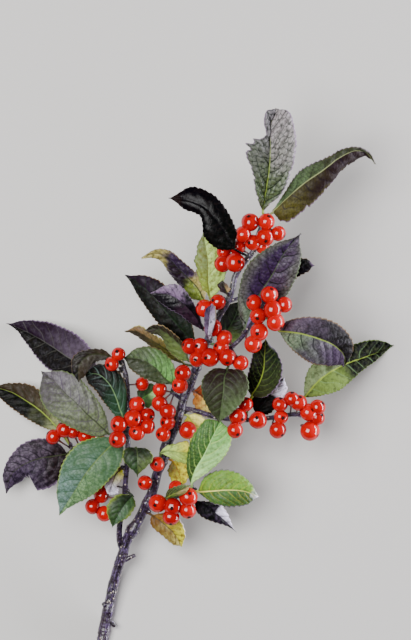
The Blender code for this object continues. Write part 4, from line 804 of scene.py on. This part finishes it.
def add_berry(shape, berry, rng):
    """One berry: a round fruit, dimpled at both ends, with a dark five-lobed calyx."""
    centre, size, up = berry_frame(berry)
    side = unit(np.cross(up, (0.0, 1.0, 0.13)))
    turn = turns(BERRY_SIDES)
    spokes = circle(turn, side, np.cross(up, side))
    fall = np.linspace(0.03, math.pi - 0.03, BERRY_RINGS)[:, None]
    dimple = DIMPLES[0] * np.exp(-((fall / 0.2) ** 2)) \
        + DIMPLES[1] * np.exp(-(((math.pi - fall) / 0.35) ** 2))
    phase = rng.uniform(0.0, 2 * math.pi, 2)
    lumps = 0.012 * np.sin(turn * 3 + phase[0]) * np.sin(fall) + 0.01 * np.sin(turn * 2 + phase[1])
    reach = size * (1.0 - dimple + lumps)
    points = centre + reach[..., None] * (np.sin(fall)[..., None] * spokes
                                          + BERRY_HEIGHT * np.cos(fall)[..., None] * up)
    tint = rng.uniform(0.0, 1.0)
    shape.add(points, tube_faces(BERRY_RINGS, BERRY_SIDES), values_at(points, tint, fall / math.pi, 0.0))
    top = size * BERRY_HEIGHT * 0.94
    lobes = 1.0 + 0.22 * np.cos(turn * LOBES)
    calyx = np.array([centre + DOT * wide * lobes[:, None] * spokes + up * (top + high * DOT)
                      for wide, high in CALYX_RINGS])
    shape.add(calyx, tube_faces(len(CALYX_RINGS), BERRY_SIDES), finish=1)


def make_berries():
    """Every bunch of berries that touch, as one piece."""
    materials = [berry_material(), calyx_material()]
    for name, bunch in BERRIES:
        shape = Shape()
        rng = seeded(name)
        for berry in bunch:
            add_berry(shape, berry, rng)
        made = shape.piece(name + "_fruit", materials)
        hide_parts(name)


# Leaves

def margin(edge, middle, rib, lift, shares):
    """A leaf's margin: its place in plan, and its height from the midrib's."""
    points = [(*point, lift)[:3] for point in edge]
    line = smooth([(*middle[0][:2], 0.0), *points, (*middle[-1][:2], 0.0)], shares)
    line[:, 2] += rib[:, 2]
    return line


def side_distance(x, d, width, gap, right, rng):
    """The distance to the nearest side vein: they leave the midrib and curve towards the tip."""
    sway = 0.26 * wavy(x / 6.0, d / 6.0 + 7 * right, rng)
    count = (x - 0.55 * d - 0.8 * d * d / width) / gap - 0.3 - 0.45 * right + sway
    return np.abs(np.mod(count + 0.5, 1.0) - 0.5) * 0.85 * gap


def half_width(right, out, x, shares, look, rng):
    """The width of half a blade along it: narrowed at the tip, toothed, nibbled and bitten."""
    saw = np.mod(x / TOOTH_GAP + rng.uniform(0, 1), 1.0)
    teeth = TOOTH * (saw - 0.35) * np.sin(math.pi * np.clip(shares * 1.05, 0, 1)) ** 0.6
    nibbles = look.ragged[right] * np.minimum(wavy(x / 1.6, x * 0.0 + right, rng), 0.0) * 1.6
    narrowed, taper = look.point
    width = np.linalg.norm(out, axis=1) * (1.0 - narrowed * ease(shares, taper, 1.0)) + teeth + nibbles
    bitten = np.zeros(x.shape)
    for where, reach, depth in (look.bites_left, look.bites_right)[right]:
        bitten += depth * np.clip(1.3 - 1.3 * np.abs(x - where) / reach, 0.0, 1.0)
    return np.maximum(width - bitten, 0.45 - 0.33 * shares)


def half_blade(right, rib, edge, shares, length, look, rng):
    """Half a blade: its flat surface, how high it is quilted, and the values for its material."""
    out = edge - rib
    across = unit(out + 1e-6 * np.array((1.0, 1.0, 0.0)))
    widest = max(float(np.linalg.norm(out, axis=1).max()), 1.0)
    columns = max(5, round(widest / GRID_ACROSS))
    tau = np.linspace(0.0, 1.0, columns + 1) ** 0.94
    d = half_width(right, out, shares * length, shares, look, rng)[:, None] * tau
    x = np.broadcast_to((shares * length)[:, None], d.shape)
    gap = min(max(length / 7.5, VEIN_GAP[0]), VEIN_GAP[1])
    far_side = side_distance(x, d, widest, gap, right, rng)
    cell = look.cell
    far_net = net_distance(x * 0.85 + d * 0.2 + 9 * cell, d + (9 + 9 * right) * cell, cell, rng)
    fade = ease(x / length, 0.0, 0.08) * (1 - ease(tau, 0.88, 1.0))
    pillow = QUILT * gap * ease(far_side, 0.0, gap * 0.42) \
        + look.puckered * ease(np.minimum(far_side, far_net), 0.0, 0.6)
    groove = np.exp(-((d / 0.6) ** 2)) * ease(1 - x / length, 0.0, 0.15)
    bulge = BULGE * widest * np.sin(math.pi * tau) * np.sin(math.pi * x / length) ** 0.5
    wave = WAVE * tau ** 3 * wavy(x / 6.0, x * 0.0 + 3 * right, rng)
    sunk = look.quilt * pillow * fade - GROOVE * groove + bulge + wave
    surface = rib[:, None, :] + across[:, None, :] * d[..., None]
    growth = values_at(surface, x / length, tau * (1 if right else -1), 1.0)
    veins = values_at(surface, far_side / (1.15 - 0.4 * tau), far_net, d / (1.15 - 0.7 * x / length))
    return surface, sunk[..., None], growth, veins


def blade_grid(name, middle, edges, lift, look):
    """The middle surface of a blade with its veins sunk in, and what grows where on it."""
    rng = seeded(name)
    length = length_of(middle)
    shares = np.linspace(0.0, 1.0, max(22, round(length / GRID_STEP)) + 1)
    rib = smooth(middle, shares)
    halves = [half_blade(right, rib, margin(edges[right], middle, rib, lift[right], shares),
                         shares, length, look, rng) for right in (0, 1)]
    surface, sunk, growth, veins = (np.concatenate([left[:, ::-1], right[:, 1:]], axis=1)
                                    for left, right in zip(*halves))
    normal = unit(np.cross(np.gradient(surface, axis=1), np.gradient(surface, axis=0)))
    if normal[..., 2].sum() < 0:
        normal = -normal
    return surface + normal * sunk, normal, growth, veins, halves[0][0].shape[1] - 1


def add_blade(shape, surface, normal, growth, veins):
    """Both faces of a blade and its rim."""
    rows, columns = surface.shape[:2]
    thin = 1.0 - 0.35 * np.abs(growth[..., 1:2]) ** 4
    top = surface + normal * BLADE / 2 * thin
    under = surface - normal * BLADE / 2 * thin
    under[..., 2] = np.maximum(under[..., 2], OVER_FLOOR)
    top[..., 2] = np.maximum(top[..., 2], OVER_FLOOR + BLADE)
    size = rows * columns
    turned = np.cross(surface[1, 1] - surface[1, 0], surface[2, 0] - surface[1, 0]) @ normal[1, 0] < 0
    faces = grid_faces(rows, columns, flip=bool(turned))
    faces += grid_faces(rows, columns, start=size, flip=not turned)
    index = np.arange(size).reshape(rows, columns)
    sides = (index[0], index[1:, -1], index[-1, -2::-1], index[-2:0:-1, 0])
    loop = np.concatenate(sides).tolist()
    for a, b in zip(loop, loop[1:] + loop[:1]):
        face = (b, a, a + size, b + size)
        faces.append(face[::-1] if turned else face)
    below = growth * (1.0, 1.0, 0.0)
    shape.add(np.stack([top, under]), faces, np.stack([growth, below]), veins=np.stack([veins, veins]))


def add_rib(shape, stalk, surface, normal, growth, centre_column):
    """The stalk from the wood, going on as the midrib under the blade."""
    root, radius = nearest_wood(np.array(stalk[0]))
    rib = surface[:, centre_column]
    route = [root, *stalk[1:], rib[0]]
    path = smooth(route, np.linspace(0.0, 1.0, max(4, round(length_of(route) / STALK_STEP)) + 1))
    path = path[np.linalg.norm(path - root, axis=1) > radius * 0.6][:-1]
    below = rib - normal[:, centre_column] * (BLADE * 0.5 + 0.12)
    line = np.concatenate([path, below[::3]])
    share = np.concatenate([np.zeros(len(path)), growth[::3, centre_column, 0]])
    radii = STALK / 2 * (1 - share) ** 0.7 * 0.95 + 0.1
    if len(path):
        radii = radii + 0.3 * np.exp(-((np.linalg.norm(line - line[0], axis=1) / 0.9) ** 2))
    line[:, 2] = np.maximum(line[:, 2], radii)
    points, faces = tube(line, radii)
    shape.add(points, faces, values_at(points, share[:, None], 0.0, 1.0), veins=(9.0, 9.0, 0.0))


def make_leaf(name, kind, lift, stalk, middle, left, right):
    """One leaf: a thin veined blade on its stalk."""
    look = LOOKS[name]
    surface, normal, growth, veins, centre_column = blade_grid(name, middle, (left, right), lift, look)
    shape = Shape()
    add_blade(shape, surface, normal, growth, veins)
    add_rib(shape, stalk, surface, normal, growth, centre_column)
    made = shape.piece(name + "_blade", [leaf_material(name, look)])
    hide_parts(name)


# Materials

def linear(name):
    """The linear values of a colour of the palette."""
    values = np.array(PALETTE[name]) / 255.0
    values = np.where(values <= 0.04045, values / 12.92, ((values + 0.055) / 1.055) ** 2.4)
    return (*values.tolist(), 1.0)


class Finish:
    """A material under construction: each method adds nodes and returns their output."""

    def __init__(self, name, roughness, **settings):
        self.material = bpy.data.materials.new(name)
        self.material.use_nodes = True
        self.nodes = self.material.node_tree.nodes
        self.links = self.material.node_tree.links
        self.shader = self.nodes["Principled BSDF"]
        self.shader.inputs["Roughness"].default_value = roughness
        for socket, value in settings.items():
            self.shader.inputs[socket.replace("_", " ")].default_value = value

    def set(self, socket, value):
        """A link to a socket, or a plain value on it."""
        if isinstance(value, bpy.types.NodeSocket):
            self.links.new(value, socket)
        else:
            socket.default_value = value

    def node(self, kind, output, inputs, **settings):
        """A new node with its inputs and settings."""
        made = self.nodes.new(kind)
        for key, value in settings.items():
            setattr(made, key, value)
        for key, value in inputs.items():
            self.set(made.inputs[key], value)
        return made.outputs[output]

    def math(self, operation, a, b=0.0):
        """One step of arithmetic."""
        return self.node("ShaderNodeMath", 0, {0: a, 1: b}, operation=operation)

    def plus(self, a, b):
        return self.math("ADD", a, b)

    def times(self, a, b):
        return self.math("MULTIPLY", a, b)

    def span(self, value, low, high, to_low=0.0, to_high=1.0):
        """The value carried from one range to another, held at its ends."""
        return self.node("ShaderNodeMapRange", 0, {0: value, 1: low, 2: high, 3: to_low, 4: to_high},
                         interpolation_type="SMOOTHSTEP")

    def mix(self, share, first, second):
        """Two colours mixed: the first at 0, the second at 1."""
        return self.node("ShaderNodeMix", 2, {0: share, 6: first, 7: second}, data_type="RGBA")

    def tint(self, colour, tone, value, *span):
        """A colour with a tone over it, as strong as the span of a value says."""
        return self.mix(self.span(value, *span), colour, linear(tone))

    def values(self, key="growth"):
        """The three per-point values of the piece."""
        vector = self.node("ShaderNodeAttribute", "Vector", {}, attribute_name=key)
        made = self.nodes.new("ShaderNodeSeparateXYZ")
        self.links.new(vector, made.inputs[0])
        return tuple(made.outputs)

    def place(self):
        """Where a point is on the piece, in metres."""
        return self.node("ShaderNodeTexCoord", "Object", {})

    def noise(self, scale, detail=3.0, where=None):
        """Soft values round 0.5. A higher scale is finer."""
        return self.node("ShaderNodeTexNoise", 0,
                         {"Vector": where or self.place(), "Scale": scale, "Detail": detail})

    def cells(self, scale):
        """The distance from the middles of scattered cells."""
        return self.node("ShaderNodeTexVoronoi", "Distance", {"Vector": self.place(), "Scale": scale})

    def done(self, colour, roughness, height, strength, distance=0.0003):
        """The finished material: its colour, roughness and fine relief."""
        relief = {"Height": height, "Strength": strength, "Distance": distance}
        self.set(self.shader.inputs["Base Color"], colour)
        self.set(self.shader.inputs["Roughness"], roughness)
        self.set(self.shader.inputs["Normal"], self.node("ShaderNodeBump", 0, relief))
        return self.material


def blade_paint(finish, look, along, across, out, mottle):
    """The colours of a blade before its veins: four corners, margin, tip, spots and a pale painted sheen.
    """
    wander = finish.times(finish.plus(finish.noise(95.0, 2.0), -0.5), 0.7)
    drift = finish.plus(along, wander)
    blend = finish.span(drift, *look.turn)
    left, right = (finish.mix(blend, *map(linear, half.split())) for half in (look.left, look.right))
    colour = finish.mix(finish.span(across, -0.05, 0.05), left, right)
    if look.edge:
        tone, start = look.edge
        colour = finish.tint(colour, tone, finish.plus(out, wander), start, start + 0.45, 0.0, 0.9)
    # A colour at the tip: a tone of the leaf, and in the glare colours a painted highlight.
    if look.tip:
        tone, start = look.tip
        colour = finish.tint(colour, tone, drift, start, start + 0.16)
    colour = finish.tint(colour, look.spots, mottle, 0.45, 0.72, 0.0, look.mottled)
    # Painted sheen: pale mottling that stands for glare on the blade.
    colour = finish.tint(colour, "painted_sheen", mottle, 0.55, 0.30, 0.0, look.painted_sheen)
    return finish.tint(colour, look.spots, finish.noise(850.0), 0.5, 0.75, 0.0, 0.45)


def leaf_material(name, look):
    """Waxy blade: mottled colours, a crisp vein net, a thin rim that on some leaves is a painted edge
    highlight, and a dull underside.
    """
    finish = Finish("skin_" + name, look.rough, Specular_IOR_Level=look.shine)
    along, across, upper = finish.values()
    side_vein, net, midrib = (finish.span(away, *fade, 1.0, 0.0)
                              for away, fade in zip(finish.values("veins"), VEIN_FADES))
    mottle, out = finish.noise(520.0, 5.0), finish.math("ABSOLUTE", across)
    lines = finish.math("MAXIMUM", finish.times(side_vein, look.veined),
                        finish.times(net, look.veined * look.netted))
    inside = finish.span(out, 0.9, 1.0, 1.0, 0.0)
    colour = blade_paint(finish, look, along, across, out, mottle)
    colour = finish.mix(finish.times(lines, inside), colour, linear(look.vein))
    ribbed = finish.span(along, 0.3, 1.0, 0.8, 0.25)
    colour = finish.mix(finish.times(midrib, ribbed), colour, linear(look.rib or look.vein))
    # A thin rim along the margin: a margin tone, and in the glare colours a painted edge highlight.
    colour = finish.tint(colour, look.rim, out, 0.92, 0.99, 0.0, 0.75)
    below = finish.mix(finish.times(lines, 0.6), linear("under"), linear("underrib"))
    sunk = finish.times(finish.math("MAXIMUM", side_vein, net), -1.0)
    height = finish.plus(finish.times(finish.noise(1500.0), 0.35), sunk)
    dull = finish.plus(finish.span(mottle, 0.3, 0.75, 0.0, 0.16),
                       finish.times(finish.math("SUBTRACT", 1.0, upper), 0.25))
    return finish.done(finish.mix(upper, below, colour), finish.plus(dull, look.rough), height, look.crisp)


def berry_material():
    """Glossy scarlet skin, a little deeper on some berries, darker round the stalk with a deeper red and
    painted shade, with faint pale specks.
    """
    finish = Finish("berry_skin", 0.2, Coat_Weight=0.25, Coat_Roughness=0.05, Coat_IOR=2.4,
                    Specular_IOR_Level=0.1)
    tint, fall, _ = finish.values()
    blush = finish.noise(160.0, 2.0)
    colour = finish.mix(tint, linear("scarlet"), linear("crimson"))
    colour = finish.tint(colour, "vermilion", blush, 0.45, 0.75, 0.0, 0.5)
    # Darker towards the stalk end: a deeper red there, and painted shade where the berry faces the wood or
    # the floor.
    colour = finish.tint(colour, "deep_red_and_shade", fall, 0.6, 1.0, 0.0, 0.8)
    colour = finish.tint(colour, "peach", finish.cells(900.0), 0.05, 0.16, 0.12, 0.0)
    return finish.done(colour, finish.span(blush, 0.3, 0.7, 0.18, 0.28), finish.noise(700.0, 2.0), 0.05)


def calyx_material():
    """The dark dry remains of the flower at the end of a berry."""
    finish = Finish("calyx", 0.8, Specular_IOR_Level=0.15)
    grain = finish.noise(1800.0)
    return finish.done(finish.mix(grain, linear("calyx"), linear("calyx_warm")), 0.8, grain, 0.5, 0.0002)


def bark_material():
    """Dark purple-brown glossy bark with cream lenticels and lengthwise streaks of painted sheen."""
    finish = Finish("bark_skin", 0.3, Coat_Weight=0.5, Coat_Roughness=0.15)
    run, cosine, sine = finish.values()
    patches, fine = finish.noise(140.0, 4.0), finish.noise(900.0, 4.0)
    lengthwise = {0: finish.times(run, 0.16), 1: finish.times(cosine, 1.6), 2: finish.times(sine, 1.6)}
    streaks = finish.noise(2.0, 4.0, finish.node("ShaderNodeCombineXYZ", 0, lengthwise))
    dots = finish.times(finish.span(finish.cells(480.0), 0.14, 0.24, 1.0, 0.0),
                        finish.span(finish.noise(260.0, 1.0), 0.42, 0.50))
    colour = finish.mix(finish.span(patches, 0.42, 0.75), linear("bark"), linear("bark_warm"))
    colour = finish.tint(colour, "bark_grey", fine, 0.5, 0.7, 0.0, 0.4)
    # Painted sheen: lighter lavender streaks along the stem stand for highlights on the bark.
    colour = finish.tint(colour, "bark_sheen", streaks, 0.52, 0.66, 0.0, 0.5)
    colour = finish.mix(dots, colour, linear("cream"))
    height = finish.plus(finish.plus(finish.times(fine, 0.6), dots), streaks)
    return finish.done(colour, finish.span(fine, 0.3, 0.7, 0.2, 0.45), height, 0.7, 0.0007)


def stalk_material():
    """Berry stalks: green-brown, redder near the fruit."""
    finish = Finish("berry_stalk_skin", 0.5)
    patches = finish.noise(500.0)
    colour = finish.tint(linear("bark_warm"), "stalk", finish.values()[0], 0.2, 1.0)
    return finish.done(finish.tint(colour, "bark", patches, 0.4, 0.8, 0.0, 0.5), 0.5, patches, 0.3)


def cut_material():
    """Pale cut wood with faint rings round a brown pith."""
    finish = Finish("cut_wood", 0.7)
    across = finish.values()[0]
    rings = finish.math("SINE", finish.times(across, 34.0))
    colour = finish.tint(linear("cream"), "tan", rings, -1.0, 1.0, 0.0, 0.5)
    colour = finish.tint(colour, "brown", across, 0.15, 0.32, 0.9, 0.0)
    return finish.done(colour, 0.7, finish.noise(1400.0), 0.4)


# Stage

PHOTO_MIDDLE = (92.5, 144.0, 0.0)       # the middle of the photograph, on the drawing grid
FRAME_HEIGHT = 0.288                    # what the photograph takes in from top to bottom, in metres
FRAME_LEVEL = 0.030                     # the height above the floor where it takes that in
CAMERA_HEIGHT = 3.0
SENSOR = 24.0


def make_floor():
    """A plain pale floor."""
    bpy.ops.mesh.primitive_plane_add(size=6.0)
    floor = bpy.context.object
    floor.name = "floor"
    finish = Finish("floor_paint", 0.75)
    paint = finish.mix(finish.noise(3.0, 2.0), linear("floor"), linear("floor_light"))
    finish.set(finish.shader.inputs["Base Color"], paint)
    floor.data.materials.append(finish.material)


def softbox(name, direction, distance, size, power, tint=(1.0, 1.0, 1.0)):
    """An area light in a direction from the branch, facing its middle."""
    lamp = bpy.data.lights.new(name, "AREA")
    lamp.shape = "RECTANGLE"
    lamp.size, lamp.size_y = size
    lamp.energy = power
    lamp.color = tint
    made = bpy.data.objects.new(name, lamp)
    bpy.context.scene.collection.objects.link(made)
    made.location = unit(np.array(direction, dtype=float)) * distance
    made.rotation_euler = made.location.to_track_quat("Z", "Y").to_euler()
    made.visible_camera = False


def make_lights():
    """A soft key light from above, a low strip at the right, and a dim sky."""
    softbox("key", (-0.40, 0.12, 1.0), 1.5, (1.0, 1.0), 43.0)
    softbox("right_strip", (1.0, 0.15, 0.14), 0.8, (1.2, 0.1), 22.0, (0.93, 0.92, 1.0))
    world = bpy.data.worlds.new("studio")
    world.use_nodes = True
    world.node_tree.nodes["Background"].inputs["Color"].default_value = (0.86, 0.87, 0.92, 1.0)
    world.node_tree.nodes["Background"].inputs["Strength"].default_value = 0.10
    bpy.context.scene.world = world


def make_camera():
    """A camera high over the branch, with the photograph's frame."""
    lens = bpy.data.cameras.new("camera")
    lens.sensor_fit = "VERTICAL"
    lens.sensor_height = SENSOR
    lens.lens = SENSOR * (CAMERA_HEIGHT - FRAME_LEVEL) / FRAME_HEIGHT
    camera = bpy.data.objects.new("camera", lens)
    bpy.context.scene.collection.objects.link(camera)
    middle = place(PHOTO_MIDDLE)
    camera.location = (middle[0], middle[1], CAMERA_HEIGHT)
    bpy.context.scene.camera = camera


make_camera()
make_floor()
make_lights()
make_wood()
for entry in LEAVES:
    make_leaf(*entry)
make_berries()

bpy.context.view_layer.update()
